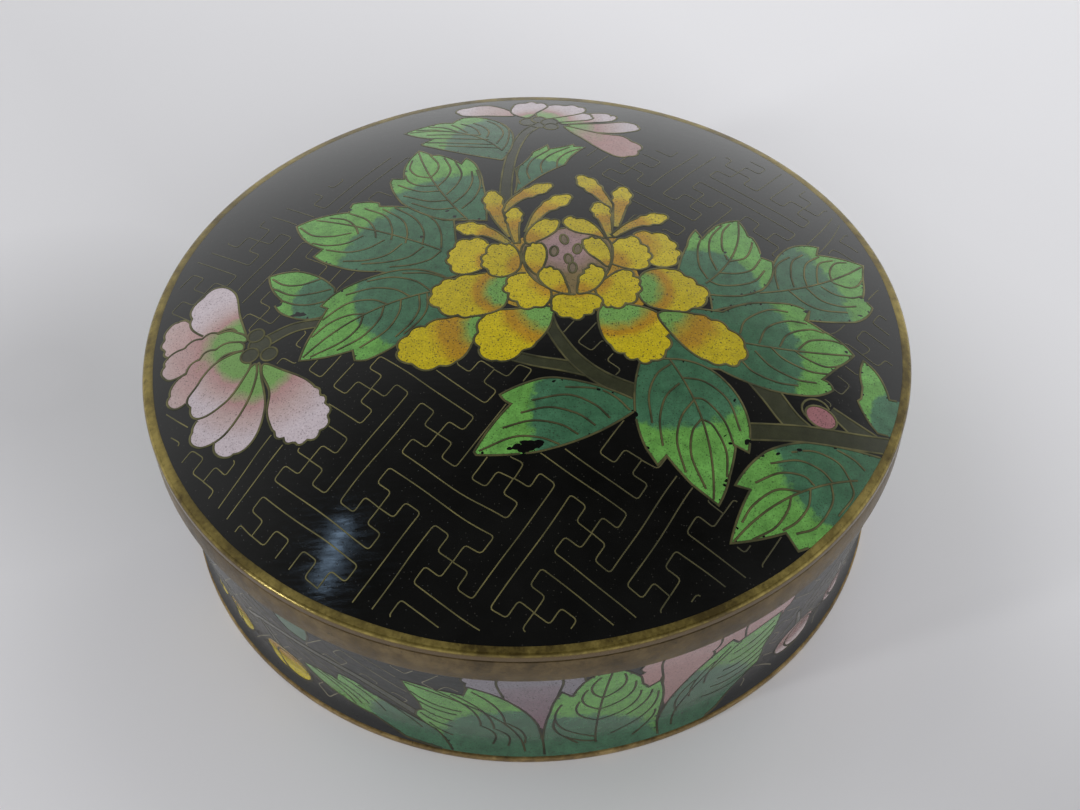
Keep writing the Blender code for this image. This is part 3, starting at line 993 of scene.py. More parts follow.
# A leaf is its corners, its base and tip, the dark share of its length, its midrib and its veins
LID_LEAVES = [
    ([(-3, 31.9, .08), (-1.3, 41.3, .14), (-8, 48.4, 0), (-9.8, 48.3, .04), (-11.3, 46.4, 0),
      (-13, 46.8, .05), (-19.4, 44.1, .05), (-14.5, 40.8, 0), (-16.3, 39.4, 0), (-16.2, 38.9, .03)],
     (-2, 37), (-19.4, 44.1), .565, ((-3, 35), (-18.9, 44.1), .16),
     [[(-3, 35.2), (-2.1, 38), (-1.9, 42.4), (-3.2, 45.2)],
      [(-3.9, 37.6), (-2.8, 41.2), (-3.7, 44.3), (-5.5, 46.4)],
      [(-5.5, 40), (-5.2, 42.2), (-6.2, 44.2), (-7.8, 45.8)],
      [(-6.6, 40.9), (-7.1, 42.8), (-8.1, 44.4), (-9.9, 45.8)],
      [(-8.8, 42.2), (-10.2, 44.2), (-11.5, 45.7)], [(-10.4, 42.8), (-12.6, 44.7), (-15.4, 45.7)],
      [(-12.5, 43.4), (-14.6, 44.4), (-17.4, 44.8)], [(-6.8, 41), (-10, 41.6), (-15.6, 42.6)],
      [(-5.2, 39.2), (-9, 39.9), (-15.2, 41.2)], [(-4.2, 37.2), (-8.6, 38.2), (-15.4, 39.7)],
      [(-3.6, 36), (-7.6, 36.8), (-13.4, 38.2)]]),
    ([(-10, 9, 0), (-10.5, 15.5, .08), (-22.2, 21.2, 0), (-22.4, 22.2, .08), (-26.6, 23, .05),
      (-27.1, 20.7, .08), (-35.3, 19.3, .1), (-30.6, 12.2, 0), (-31.9, 10.8, .05), (-28.3, 7.7, .06),
      (-21.7, 5.2, .02), (-12, 2, 0), (-6, 4, 0)],
     (-12, 6), (-35.3, 19.3), .60, ((-12.3, 8.6), (-32.2, 20), .02),
     [[(-12.3, 9), (-12.5, 13), (-14, 16.7), (-18.4, 20.8)],
      [(-15.2, 10.2), (-15.1, 13.4), (-16.6, 17), (-19.8, 20.4)],
      [(-17.8, 11), (-17.6, 13.7), (-18.5, 16.9), (-21.7, 20.4)],
      [(-20, 12.2), (-20, 14.9), (-21.2, 18.4), (-24.6, 21.2)],
      [(-22.4, 13.2), (-22.8, 15.6), (-24.2, 18.2), (-26.9, 20.4)],
      [(-25.2, 14.7), (-25.9, 16.9), (-27.5, 18.9), (-30, 20)],
      [(-26.3, 15.2), (-29.3, 15.1), (-32.4, 16.1), (-34.7, 18.8)],
      [(-24.4, 14.1), (-27, 12.8), (-30, 13), (-32.4, 14.2)],
      [(-21, 12.4), (-23.7, 10.8), (-26.7, 10.6), (-30, 11.9)],
      [(-18.3, 11), (-20.5, 8.8), (-23.7, 8.1), (-27.2, 8.6)],
      [(-15, 9.8), (-17.3, 7.7), (-20.7, 7.1), (-24.3, 7.4)],
      [(-12.3, 8.5), (-14, 6.7), (-16.7, 5.9), (-20, 5.9)]]),
    ([(-5.5, 15, .02), (-6.1, 25, .04), (-7.4, 31.2, .04), (-8.8, 33.2, .04), (-9.6, 31.4, .05),
      (-13.2, 34.9, 0), (-14.4, 35, .04), (-16.6, 37, .1), (-18.7, 28.3, 0), (-20.6, 28.8, 0),
      (-20.9, 27.8, .05), (-18.7, 21.3, .05), (-12, 15.8, 0)],
     (-9.5, 12.3), (-16.6, 37), .61, ((-7.8, 14.6), (-16.7, 36.6), -.05),
     [[(-9.3, 18.5), (-7.4, 21.2), (-6.5, 25), (-7.1, 29.2)],
      [(-10.7, 20), (-8.8, 22.6), (-7.8, 25.8), (-7.9, 28.9)],
      [(-11.8, 22.6), (-10.2, 25.3), (-9.5, 28.4), (-10.6, 32.4)],
      [(-13.2, 25.2), (-11.9, 27.4), (-11.3, 30), (-12.4, 33.9)],
      [(-14.5, 27.8), (-13.4, 30), (-13.4, 32.2), (-14.8, 35.2)],
      [(-14.6, 27.9), (-16.7, 29), (-17.9, 31.4), (-17.6, 34)],
      [(-13.6, 25.4), (-16, 25.8), (-17.9, 27.4), (-18.6, 29.6)],
      [(-12.8, 23.8), (-15.6, 24), (-17.7, 25.2), (-19.6, 26.7)],
      [(-11.6, 21), (-14.6, 21.2), (-18.6, 23.4)], [(-10.4, 18.8), (-13.6, 18.9), (-17.2, 21.1)],
      [(-8.8, 16), (-11.4, 15.9), (-14.2, 16.9)]]),
    ([(-28, 2.7, .08), (-34, 7.9, .06), (-38.5, 7.9, .08), (-35.8, 1.8, 0), (-37, 1.2, .1),
      (-34.4, -1.8, .1), (-29.8, -2.9, 0), (-28, -1, 0)],
     (-28.5, .5), (-38.5, 7.9), .47, None,
     [[(-30.3, 5.3), (-33.4, 4.7), (-36, 5.4), (-37.9, 7.2)],
      [(-28.6, 2.7), (-31.6, 2.4), (-34.6, 2.8), (-37.6, 5)],
      [(-28.4, .5), (-31.4, .1), (-34, .7), (-36.3, 2.2)]]),
    ([(-9, -1, 0), (-11.4, 2.3, .12), (-20, 4.8, .04), (-26.7, 2.4, .06), (-29.9, -.6, 0),
      (-28.9, -1.3, 0), (-30.3, -4.7, .04), (-32.4, -10.7, .05), (-24.7, -10.2, 0), (-24.3, -12.1, .05),
      (-22.6, -12.3, .06), (-16, -8, 0), (-9, -7.2, 0)],
     (-14, 0), (-32.4, -10.7), .53, ((-13.7, -.3), (-31.9, -10.2), .085),
     [[(-11.3, 2.2), (-14.4, 3.7), (-18, 4.2)], [(-13.7, -.1), (-16.1, 2.3), (-19.6, 3.6), (-23.3, 3.3)],
      [(-16.7, -.9), (-19, .9), (-22.4, 1.7), (-26.3, 1)],
      [(-20, -2), (-22.4, -.7), (-26, -.9), (-29.5, -3.5)],
      [(-23.3, -3.4), (-25.7, -3.3), (-28.3, -4.3), (-30.9, -6.6)],
      [(-14.2, -.6), (-14.2, -3.7), (-15.3, -6), (-17.4, -8.2)],
      [(-15.4, -.8), (-15.3, -3.5), (-16.4, -6.1), (-18.6, -8.6)],
      [(-18, -1.5), (-18.3, -4.1), (-20, -7.2), (-23.7, -9.9)],
      [(-20.5, -2.4), (-21.1, -4.9), (-23.5, -7.9), (-27, -9.8)],
      [(-23.5, -3.8), (-24.1, -6), (-26.4, -8.3), (-30.8, -10.3)]]),
    ([(-1.2, 21.8, .05), (-1, 29, .06), (2, 34.3, .04), (4.4, 36.7, 0), (4.6, 35.2, .04), (8.6, 36.8, 0),
      (8.8, 36.1, 0), (10.6, 35.9, .06), (7, 30, .03), (2.7, 26.3, 0)],
     (-.6, 22.3), (10.6, 35.9), .60, None,
     [[(-.3, 24.4), (-.7, 27), (-.3, 29.6), (.5, 31.5)],
      [(1.3, 25.8), (.9, 28.4), (1.8, 31.6), (4.6, 34.9)],
      [(3.3, 27.6), (3.2, 30.3), (4.6, 33), (8, 35.9)],
      [(5.7, 29.2), (6, 31.7), (7.5, 33.9), (9.7, 35.4)]]),
    ([(27, -4.4, 0), (33, -2, .04), (41.8, -2.1, 0), (41.2, -4.2, .03), (48.6, -3, .1), (52, .8, 0),
      (50.8, 2.6, .04), (51.6, 7, 0), (52.3, 10.4, .05), (44.9, 10.9, 0), (45.5, 12.9, .12),
      (40, 11, .06), (37.4, 6.6, 0), (27, 1, 0)],
     (30, -2), (52.3, 10.4), .71, ((34.6, .3), (52, 10.1), .07),
     [[(37.6, 1.6), (37.5, 4.6), (38.2, 7.2), (40.4, 9.4)],
      [(40.1, 2.6), (40, 5.2), (40.7, 8.4), (42.6, 10.4)],
      [(42.2, 3.2), (42.1, 5.6), (42.9, 8.4), (45.2, 10.6)],
      [(44, 3.9), (44.2, 6.4), (45, 8.9), (47.4, 10.3)],
      [(46.4, 5), (46.4, 7.4), (47.6, 9.6), (49.6, 10.4)],
      [(46.5, 4.9), (48.8, 4.4), (50.4, 5.2), (51.4, 6.8)],
      [(44.4, 3.6), (46.4, 2.3), (49, 2.2), (50.8, 3.1)], [(42, 2.8), (44, .5), (47, -.1), (49.4, .5)],
      [(39, 1.8), (41.4, -.7), (44, -1.6), (47.8, -1.2)]]),
    ([(19, -12, 0), (20, -15, 0), (27, -15.4, .04), (33.8, -18.2, .04), (40, -18.4, .06),
      (43.1, -16.9, .2), (41.8, -15.2, 0), (44.6, -12.4, .04), (47.3, -9.8, .08), (43.4, -6, .03),
      (40.8, -4.2, 0), (41.7, -2.3, .1), (36.8, -1.5, .08), (28.5, -4.4, 0), (22, -4, 0)],
     (26, -11), (47.3, -9.7), .63, ((30.5, -10), (47, -9.9), .035),
     [[(30.6, -8.4), (31.8, -5.6), (35.4, -3.1), (38.4, -3)],
      [(33.2, -9.9), (34.8, -6.7), (38, -4.9), (41, -4.9)],
      [(36.2, -10.1), (37.8, -7.5), (41.2, -6), (43.4, -6.3)],
      [(38.9, -10.2), (41, -8.2), (44.2, -7.6), (46, -8)],
      [(38.2, -10.4), (40, -11.8), (42.6, -12.8), (45.2, -12.1)],
      [(34.8, -10.3), (36.6, -12.4), (40, -14), (42.8, -14.1)],
      [(32.4, -11.4), (34.6, -14.1), (38, -15.8), (40.8, -16)],
      [(30.4, -13.6), (31.8, -15.3), (35, -16.7), (38, -16.9)]]),
    ([(21, -3, 0), (27, -1.1, .03), (31.5, -.8, .04), (35, 1, .06), (37.2, 5, .04), (37.5, 7.7, 0),
      (35.8, 8.3, .06), (35.1, 12.8, 0), (34.4, 13.2, .05), (33.3, 16.9, .06), (29.3, 14.6, .03),
      (27.2, 11.4, 0), (26.3, 13.4, .06), (24.6, 9.4, .03), (22.6, 3, 0)],
     (26.5, .2), (33.3, 16.9), .48, ((26.6, 1.2), (33.3, 16.5), .1),
     [[(27, 2.2), (26, 5.4), (26.6, 10.5), (29.3, 14.4)],
      [(28.6, 4.3), (27.9, 7.6), (28.4, 11.6), (30.6, 15.2)],
      [(30.5, 6.9), (30, 9.6), (30.5, 13.4), (31.9, 15.8)],
      [(30.8, 6.6), (33.2, 7.7), (34.4, 9.9), (35, 12.2)],
      [(28.8, 3.8), (31.5, 4), (34, 5.2), (35.7, 7.9)],
      [(27.2, 1.8), (28.8, 1.1), (31.5, 1.5), (34.2, 2.8), (36, 5.4)]]),
    ([(14.6, -23, 0), (14.6, -21.3, .05), (4, -17.6, .06), (.5, -18.1, .03), (-3.9, -20.2, .1),
      (-2.4, -21.8, .03), (-7.5, -29.1, 0), (-7.2, -29.6, .03), (1, -29.5, .06)],
     (16, -24), (-7.5, -29.3), .66, None,
     [[(13.8, -23), (12, -20.9), (9.4, -19.5), (5.1, -19.2)],
      [(11, -24.3), (9, -22.1), (5.4, -20.5), (.5, -21.3)],
      [(9, -25.5), (6.6, -23.6), (2.8, -22.5), (-1.1, -23.3)],
      [(6.6, -26.9), (4.2, -25.3), (.4, -24.6), (-3.6, -25.6)],
      [(4, -28.4), (1.4, -27.3), (-2.2, -27.1), (-6.8, -29)]]),
    ([(16, -14, .04), (14.5, -22, .05), (15.6, -29, 0), (17, -31.5, 0), (18.3, -30, .02),
      (21.4, -34.2, 0), (24.7, -37, .04), (26.6, -32.6, .02), (27.9, -27.9, 0), (29.6, -28.8, .02),
      (30.2, -25, .1), (26.6, -16.3, .1), (20.3, -14, 0)],
     (19, -10), (24.7, -36.9), .57, ((20, -14.2), (24.1, -36.2), -.08),
     [[(20, -14.9), (17.9, -16.9), (16.6, -20.4), (16.7, -25)],
      [(21, -18.2), (18.9, -20.6), (17.8, -24.4), (17.9, -28.5)],
      [(22.8, -20.9), (20.8, -23.8), (19.9, -27.8), (20.7, -32.4)],
      [(23.5, -24), (22.1, -26.2), (21.7, -30), (23.2, -34.7)],
      [(21.5, -17.2), (24.6, -17.7), (27.6, -20.6), (28.8, -25.5)],
      [(22.7, -20.6), (24.4, -20.9), (26.7, -24), (27.8, -28.4)],
      [(23.6, -24), (25.1, -25), (26.5, -28.8), (26.2, -33.2)]]),
    ([(50, -27.4, 0), (46, -26.8, .02), (38, -26.3, .05), (32, -28.4, .05), (27.2, -33.9, 0),
      (29.2, -34.4, .03), (25.8, -42.2, .03), (33.4, -40.2, 0), (34.8, -42.6, 0), (46, -38, .05)],
     (46, -28), (25.8, -42.2), .515, ((44.5, -31.3), (26.3, -41.9), .087),
     [[(45.8, -29.6), (44.4, -28.1), (42.2, -26.9)],
      [(43.4, -31.4), (42, -28.9), (38.8, -27.6), (35.6, -28.1)],
      [(40.8, -32), (39.4, -30.4), (36.4, -29.3), (32.4, -30.2)],
      [(38.2, -32.9), (36.8, -31.6), (33.6, -31.5), (30, -33.3)],
      [(36.2, -34), (32.8, -34.1), (29.4, -36.6), (27.6, -39.2)],
      [(43.4, -31.6), (43.5, -33.8), (41, -37)],
      [(40.6, -32.2), (40.4, -35.2), (37.8, -38.9), (34.8, -40.2)],
      [(37.6, -33.3), (37, -36), (35.2, -38.4), (33, -39.9)],
      [(34.8, -34.7), (34, -37), (32, -39.6), (28.8, -41.5)]]),
    ([(48.6, -10.5, .08), (47.6, -15.5, 0), (47.1, -17.6, 0), (46.5, -18.1, .06), (48.6, -23.2, 0),
      (56, -24, 0), (56, -17, 0), (51.4, -17, .03), (50.9, -14, .08)],
     (54.5, -21.5), (48.6, -10.6), .54, None),
]

# The peony from its outer petals to its heart. A petal is its loop of points, where its colours
# run from and to, the shares where they change, and its scallops: from and to which point, and how
# many.
PEONY_OUTER = [
    ([(-6, -6.2), (-11, -5.8), (-16.5, -7.9), (-18.4, -11.8), (-14.5, -15), (-9.4, -13.8),
      (-7.2, -10)], (-5.2, -8), (-18.5, -12), .28, .64, (1, 5, 6)),
    ([(3.6, -4.6), (-1.5, -4.8), (-5.8, -5.6), (-7.2, -11), (-4.6, -14.6), (-.2, -12.8),
      (3.2, -8.8)], (4.2, -4.4), (-6, -13.5), .40, .60, (2, 5.6, 5)),
    ([(10.7, -4.8), (10.7, -10), (13.4, -13.6), (17.2, -14.8), (20.2, -11.8), (19.4, -6),
      (15, -4)], (12.6, -3), (18.5, -14), .46, .60, (1.4, 4.7, 6)),
    ([(19, -5.6), (21.6, -10.8), (25, -13.9), (29.4, -14.3), (31.3, -11), (28.6, -7),
      (24, -5.2)], (18.4, -4.6), (31, -12), .36, .70, (2, 6, 6)),
    ([(-2.8, 2.2), (-7.4, 2.7), (-12.4, 1.4), (-13.8, -2.4), (-9.8, -5.8), (-3.2, -4.4)],
     (-2.4, -1), (-13.6, -1.5), .34, .50, (1, 4.4, 6)),
    ([(16.4, -1.5), (17.4, 2.6), (21.2, 3.9), (24.6, 2), (26.9, -1.4), (23.6, -4.7),
      (18.2, -4.4)], (15.6, -.6), (26.8, -1), .42, .58, (2, 5.4, 5)),
    ([(-6, 4), (-9.6, 2.9), (-11.4, 6.4), (-9.6, 10.4), (-6.2, 10.6), (-5, 8)],
     (-4.6, 5.4), (-11.4, 7), .12, .42, (1, 4.2, 5)),
    ([(18.4, 5), (21.6, 4.3), (23.4, 7.4), (21.8, 11.4), (18, 12.2), (16.4, 10.4)],
     (15.4, 9), (23.4, 6.4), .04, .66, (1, 4.4, 5)),
    ([(-1, 3), (-4, 1.9), (-6.3, 5.2), (-4.6, 9.2), (-1.8, 8.9), (-.5, 6)],
     (.2, 4.2), (-6.2, 6.4), .04, .50, (1, 4, 5)),
    ([(13, 4.4), (17.4, 3.4), (18.9, 7), (16.6, 10.8), (13.8, 9.6), (12.6, 7)],
     (12.2, 4.4), (18.4, 9.4), .06, .54, (1, 4.2, 5)),
    ([(1.9, 1.8), (-1.4, 2.3), (-3, -.8), (-.4, -4.6), (2.8, -4.3), (3.8, -1.6)],
     (4.4, 1), (-2.8, -2), .06, .56, (1, 4.4, 5)),
    ([(10.2, -1.2), (11.6, 1), (14.8, 3.3), (16.9, .4), (15.6, -3.4), (12, -4.7)],
     (9.6, 1), (16.6, -2), .16, .48, (2, 5.4, 6)),
    ([(3.7, -3.6), (4.8, -2.1), (9.8, -2), (11.1, -4), (7.6, -7), (4.4, -6)],
     (7.4, .4), (7.4, -7), .20, .46, (3, 6, 5)),
]
PEONY_CLUBS = [
    ([(-2.2, 9.3), (-5.5, 12.2), (-10.3, 14)], 3.1, .50),
    ([(-3.2, 16.6), (-.6, 20.6), (4.8, 24.2)], 2.8, .56),
    ([(-1.8, 10.8), (-3.9, 16.4), (-4.8, 22.9)], 3.1, .58),
    ([(.6, 11.6), (3, 17), (7.6, 21.1)], 3.0, .60),
    ([(-1, 9.2), (-1.4, 13.2), (-1.2, 18.1)], 2.7, .56),
    ([(13.9, 17.6), (11.8, 22), (9, 26.8)], 3.1, .48),
    ([(14.1, 13), (15, 18), (16, 23.8)], 3.1, .56),
    ([(13, 10.4), (12.5, 14.6), (11.6, 19.3)], 3.0, .54),
    ([(13.5, 10.8), (17, 14), (22.3, 16.4)], 2.8, .58),
]
PEONY_INNER = [
    ([(.5, 9), (.4, 11.4), (2.6, 14.6), (5.3, 14.4), (5, 12), (2.6, 9.8)],
     (.4, 8.6), (5, 14.8), .04, .56, (2, 3.6, 2)),
    ([(12.3, 10.4), (10.6, 13.8), (7.4, 15.4), (6, 14), (7.6, 11.8), (10.4, 11)],
     (12.6, 9.6), (6, 15), .04, .40, (1, 3, 2)),
    ([(1.9, 2.1), (.1, 4.8), (.3, 7.8), (1.8, 9.2), (3.2, 8.2), (3.3, 5.4)],
     (1.8, 1), (1.8, 9.3), .04, .52, (2, 4, 3)),
    ([(12.4, 3.8), (13, 6.6), (11.9, 9.7), (9.8, 10.4), (8.8, 8.9), (9.5, 6.8), (10.9, 5.3)],
     (13, 3), (9, 9.6), .04, .40, (2, 4, 3)),
]
PEONY_FRONT = [
    ([(6.3, -2), (3.6, -1), (2, 1.4), (2.5, 3.2), (4.2, 3.6), (5.4, 2.4), (6, .4)],
     (6.4, -2.2), (2.8, 3.4), .04, .50, (3, 5, 3)),
    ([(7.7, -2), (7.9, .8), (8.8, 2.8), (10.2, 4.3), (11.9, 2.4), (10.4, -.8)],
     (7.6, -2.2), (10.6, 4.2), .04, .46, (1, 4, 4)),
]
PEONY_HEART = [(-3.6, -1), (-2, -4), (4, -5.4), (10, -5.4), (17, -4), (17, 1), (13.6, 10.8),
               (7, 12), (-1, 10), (-3, 6)]
PEONY_HEART_TONE = 0.4
PEONY_BOWL = [(6.6, -2.2), (1.6, .8), (-.3, 6), (.6, 9.6), (6.4, 12.6), (12.4, 10.4), (13.1, 5.6),
              (11, .6)]
POD_SEEDS = [(6.1, 9.9, 98), (8, 7.7, 80), (4.5, 7.2, 84), (6.6, 5.4, 96), (7.1, 3.5, 86)]
POD_HEART = (6.2, 8)
POD_HEART_REACH = (2, 6.5)
SEED_SIZE = (1.15, .6)


def draw_lid_greens(drawing):
    for path, width_start, width_end in LID_STEMS:
        stem(drawing, path, width_start, width_end)
    for row in LID_LEAVES:
        leaf(drawing, *row)


def draw_petals(drawing, kind, petals):
    for row in petals:
        petal(drawing, kind, *row)


def draw_peony(drawing):
    drawing.add("yellow", smooth_loop(PEONY_HEART), even(PEONY_HEART_TONE), wired=False)
    draw_petals(drawing, "yellow", PEONY_OUTER)
    for path, width, neck in PEONY_CLUBS:
        club(drawing, path, width, neck)

    def pod_tone(points):
        return np.interp(np.hypot(*(points - POD_HEART).T), POD_HEART_REACH, [1, 0])

    drawing.add("pod", smooth_loop(PEONY_BOWL), pod_tone)
    draw_petals(drawing, "yellow", PEONY_INNER)
    for x, y, turn in POD_SEEDS:
        drawing.add("seed", ellipse((x, y), *SEED_SIZE, turn))
    draw_petals(drawing, "yellow", PEONY_FRONT)


# The side flowers: their petals, and the dark olive rounds (x, y, radius) that hold them
LEFT_FLOWER = [
    ([(-46.8, -1.6), (-49.4, -3), (-51.4, -4.7), (-53.4, -4), (-54.1, -.6), (-52.4, 2.5),
      (-49.8, 1.2)], (-40, -4), (-58, 0), .25, 1.0, (2, 6, 4)),
    ([(-40.6, -5), (-43.4, -1.8), (-47.4, -2.3), (-50.2, 1.8), (-49.4, 6), (-46.8, 7.9),
      (-43.6, 5.8), (-42.2, .4)], (-40.9, -5.4), (-47.5, 8), .36, .56, (2, 6, 3)),
    ([(-40.7, -5.1), (-41.8, -3.2), (-46, -2), (-50.4, -3.4), (-53.4, -6), (-52.4, -9.2),
      (-49.6, -8.8), (-44.6, -5.3)], (-41, -4.6), (-57, -9), .34, .90, (1, 5, 5)),
    ([(-41, -6.6), (-42, -4.8), (-46.6, -5.6), (-50, -9), (-51.8, -12.4), (-50.6, -15),
      (-48, -13.6), (-44.4, -7.4)], (-41, -5.6), (-54.5, -18), .30, .90, (1, 5, 5)),
    ([(-38.5, -9.8), (-39.7, -15), (-43, -20), (-43.6, -23.6), (-41, -25.3), (-38.2, -23),
      (-36.8, -18), (-37.8, -12.4)], (-38.5, -9.8), (-41.4, -25), .44, .74, (2, 6, 2)),
    ([(-39, -9.8), (-41.6, -13), (-45.6, -17), (-47.6, -20), (-46, -22.7), (-42.6, -21.6),
      (-39.8, -17.2), (-38.6, -12.6)], (-39, -9.8), (-46.8, -22), .42, .76, (1, 4, 4)),
    ([(-39.6, -9.4), (-40.9, -6.9), (-44.8, -8), (-47.2, -11), (-48.5, -14.6), (-46.8, -17.5),
      (-42.8, -15.8), (-40.4, -12)], (-40.2, -7.8), (-47.6, -17), .42, .72, (3, 6, 2)),
    ([(-37.5, -10.1), (-34.6, -11.9), (-31.1, -14.3), (-28.5, -17.6), (-27.4, -21), (-28.6, -23.8),
      (-31.4, -25), (-34.6, -23.4), (-36.4, -19.4), (-36.4, -15.4), (-37.8, -11.8)],
     (-38, -10.3), (-30, -24.8), .32, .66, (2.4, 7.4, 8)),
]
TOP_FLOWER = [
    ([(-1, 48), (-5.4, 48.5), (-10, 49.5), (-10.8, 51.2), (-8.6, 53), (-4.4, 52.6),
      (-1.4, 50)], (4, 46.4), (-10.6, 51.6), .20, .80, (1, 5.4, 3)),
    ([(9, 42.9), (13, 41.3), (17.6, 41.7), (20.2, 44), (17.6, 45.7), (13.4, 44.8), (8.4, 44.2)],
     (2, 44.6), (20.2, 44), .56, .80, (2, 4.4, 2)),
    ([(7, 44.4), (12, 45.1), (15.8, 46.2), (16, 48.4), (12.4, 49), (8, 46.8)],
     (2, 45), (16.4, 48), .60, .76, (2, 4, 2)),
    ([(5.6, 45.2), (10.4, 45.9), (12.5, 47.4), (10, 49.3), (6, 48)],
     (2, 45), (13, 48.6), .56, .70, (1, 3, 2)),
    ([(3.4, 46.6), (7.4, 47.4), (11.2, 49.6), (10, 52.2), (5.6, 52.4), (3, 50)],
     (2.4, 44.6), (10.6, 52), .50, .62, (2, 4.4, 3)),
    ([(1.2, 47), (3, 49.2), (4.9, 52.2), (2.4, 54), (-.6, 53), (-1.4, 49.4)],
     (2.4, 44.6), (2.4, 54), .44, .58, (2, 4.4, 3)),
    ([(10.2, 39), (13.8, 34.4), (17.4, 33), (19.8, 36.2), (17.4, 39.8), (12.6, 41.2), (7.6, 43.6),
      (8.4, 41.4)], (4, 45), (19, 34), .36, 2.2, (1, 4.6, 4)),
]
LEFT_CALYX = [(-38.6, -6.3, 1.7), (-39.9, -8, 1.35), (-39.3, -4.3, 1.25), (-37, -8.4, 1.25)]
TOP_CALYX = [(3.4, 44.6, 1.6), (1.4, 45.4, 1.4), (3.2, 46.2, 1.2), (5, 45.2, 1.4), (5.2, 43.4, 1.2)]
LID_BUD = (40.6, -21.9)

# A bud, long and across and turned in degrees, and where its loop of wire is from its middle
BUD = (2.3, 1.75, -30)
BUD_TONE = 0.05
BUD_LOOP = (2, 1.9)
BUD_LOOP_AT = (-.6, 1.1)


def draw_side_flower(drawing, petals, calyx):
    draw_petals(drawing, "pink", petals)
    for x, y, radius in calyx:
        drawing.add("stem", ellipse((x, y), radius, radius))


def draw_bud(drawing, x, y):
    """A pink bud under a loop of wire."""
    drawing.add("ground", ellipse((x + BUD_LOOP_AT[0], y + BUD_LOOP_AT[1]), *BUD_LOOP))
    drawing.add("lavender", ellipse((x, y), *BUD), even(BUD_TONE))


# Spots where the enamel is lost: (x, y, along, across, turn)
LID_CHIPS = [
    (-.2, -28.9, 1.5, .5, 6), (.6, -28.2, 1, .5, -8), (26.6, -26.4, .4, .15, 40),
    (28.6, -20.4, .3, .15, 60), (33.6, -28.6, .4, .2, 20), (36.8, -27.6, .25, .15),
    (3.6, -18.2, .25, .15, 20), (43.6, -15.4, .25, .15), (-15.4, 12.2, .22, .18),
    (30.4, 8.6, .35, .2, 30), (-1.5, -28.8, .9, .5, 5), (.1, -28.5, 1.1, .6, 10), (1.1, -28.6, .6, .45),
    (-.5, -28, .6, .3), (-2.7, -28.9, .4, .3), (-33.2, -1.6, 1.0, .4, 0), (-11.7, 18.2, .3, .25),
    (-10.4, 16.5, .22, .2), (9.7, -19.6, .25, .2), (14.6, -23.6, .5, .25, 70), (41.3, -2.4, .7, .3, 10),
    (46.2, -9.4, .3, .25), (36.2, 8.6, .4, .25), (29.4, -27.2, .5, .3, 30), (27.2, -27.6, .3, .2),
    (28.2, -29.3, .4, .25, 60), (51.2, 2.2, .4, .25, 70), (49.6, -1.4, .4, .2), (-26.9, 21.4, .35, .25),
    (-36.3, 1.3, .45, .3, 20),
]


def make_lid_drawing():
    angles = [math.tau * k / EDGE_STEPS for k in range(EDGE_STEPS)]
    border = np.array([
        (edge_radius(a) * math.cos(a), edge_radius(a) * math.sin(a)) for a in angles
    ])
    drawing = Drawing(on_dome, border)
    drawing.cells[0]["grid_edge"] = border * LID_GRID_SHARE
    draw_lid_greens(drawing)
    draw_side_flower(drawing, LEFT_FLOWER, LEFT_CALYX)
    draw_side_flower(drawing, TOP_FLOWER, TOP_CALYX)
    draw_peony(drawing)
    draw_bud(drawing, *LID_BUD)
    for spot in LID_CHIPS:
        chip(drawing, *spot)
    return drawing


# The wall's drawing: the leaves and petals of the front are repeated round the back
def moved(point, shift, flip):
    """A point moved along the wall, and mirrored first by a flip."""
    return shift + (-point[0] if flip else point[0]), point[1]


def placed(corners, shift, flip):
    """Corners moved along the wall. A flip mirrors them, and keeps them anticlockwise."""
    if not flip:
        return [(x + shift, y, *rest) for x, y, *rest in corners]
    turned_round = [moved(corner, shift, flip) for corner in corners]
    if len(corners[0]) == 2:
        return turned_round
    bulges = [rest[0] for _, _, *rest in corners]
    order = list(range(len(corners)))[::-1]
    return [(*turned_round[i], bulges[i - 1]) for i in order]


def wall_leaf(drawing, corners, base, tip, light, midrib, fans, strokes, shift, flip):
    """A leaf moved along the wall, and mirrored by a flip."""
    sign = -1 if flip else 1

    def one(point):
        return moved(point, shift, flip)

    leaf(
        drawing, placed(corners, shift, flip), one(base), one(tip), light,
        midrib and (one(midrib[0]), one(midrib[1]), sign * midrib[2]),
        fans=[(n, a, b, one(e), one(f), sign * g, sign * h) for n, a, b, e, f, g, h in fans],
        strokes=[(one(start), one(end), sign * bulge) for start, end, bulge in strokes],
    )


WALL_PETALS = [
    ("lavender", [(-4.6, 15), (-4.6, 21), (-4.9, 26), (-9.2, 26), (-9, 21.6), (-7.4, 20.4)],
     (-5, 12), (-7, 26), .05, .5, (3, 5, 2)),
    ("lavender", [(2, 15), (4.4, 19), (6, 20), (5.8, 26), (2, 26), (1.6, 20)],
     (3, 12), (4, 26), .05, .5, (1, 2, 2)),
    ("lavender", [(1, 9), (2.6, 19.6), (2.8, 26), (-4.6, 26), (-4.6, 20.4), (-3.6, 17.6), (-.6, 11)],
     (1, 2), (-1.6, 25), .2, .92, (4, 6, 3)),
    ("pink", [(15.4, 14), (16.7, 20), (16.8, 26), (13.8, 26), (13.8, 19), (14.4, 17)],
     (16, 10), (15, 30), .05, .8, (3, 4, 2)),
    ("pink", [(24.6, 16), (27, 20), (29, 21), (29.2, 26), (24, 26), (23.4, 20)],
     (25, 12), (27, 30), .05, .8, (1, 3, 2)),
    ("pink", [(29.4, 18), (33, 20), (35.6, 21.6), (36.6, 26), (29.2, 26), (29, 21)],
     (29, 13), (33, 30), .05, .8, (1, 3, 2)),
    ("pink", [(18.4, 9), (21, 13), (23.4, 19), (24.2, 26), (16.8, 26), (16.9, 19), (17.4, 13)],
     (18.2, 2), (20.6, 27), .05, .96, (2, 3, 2)),
]
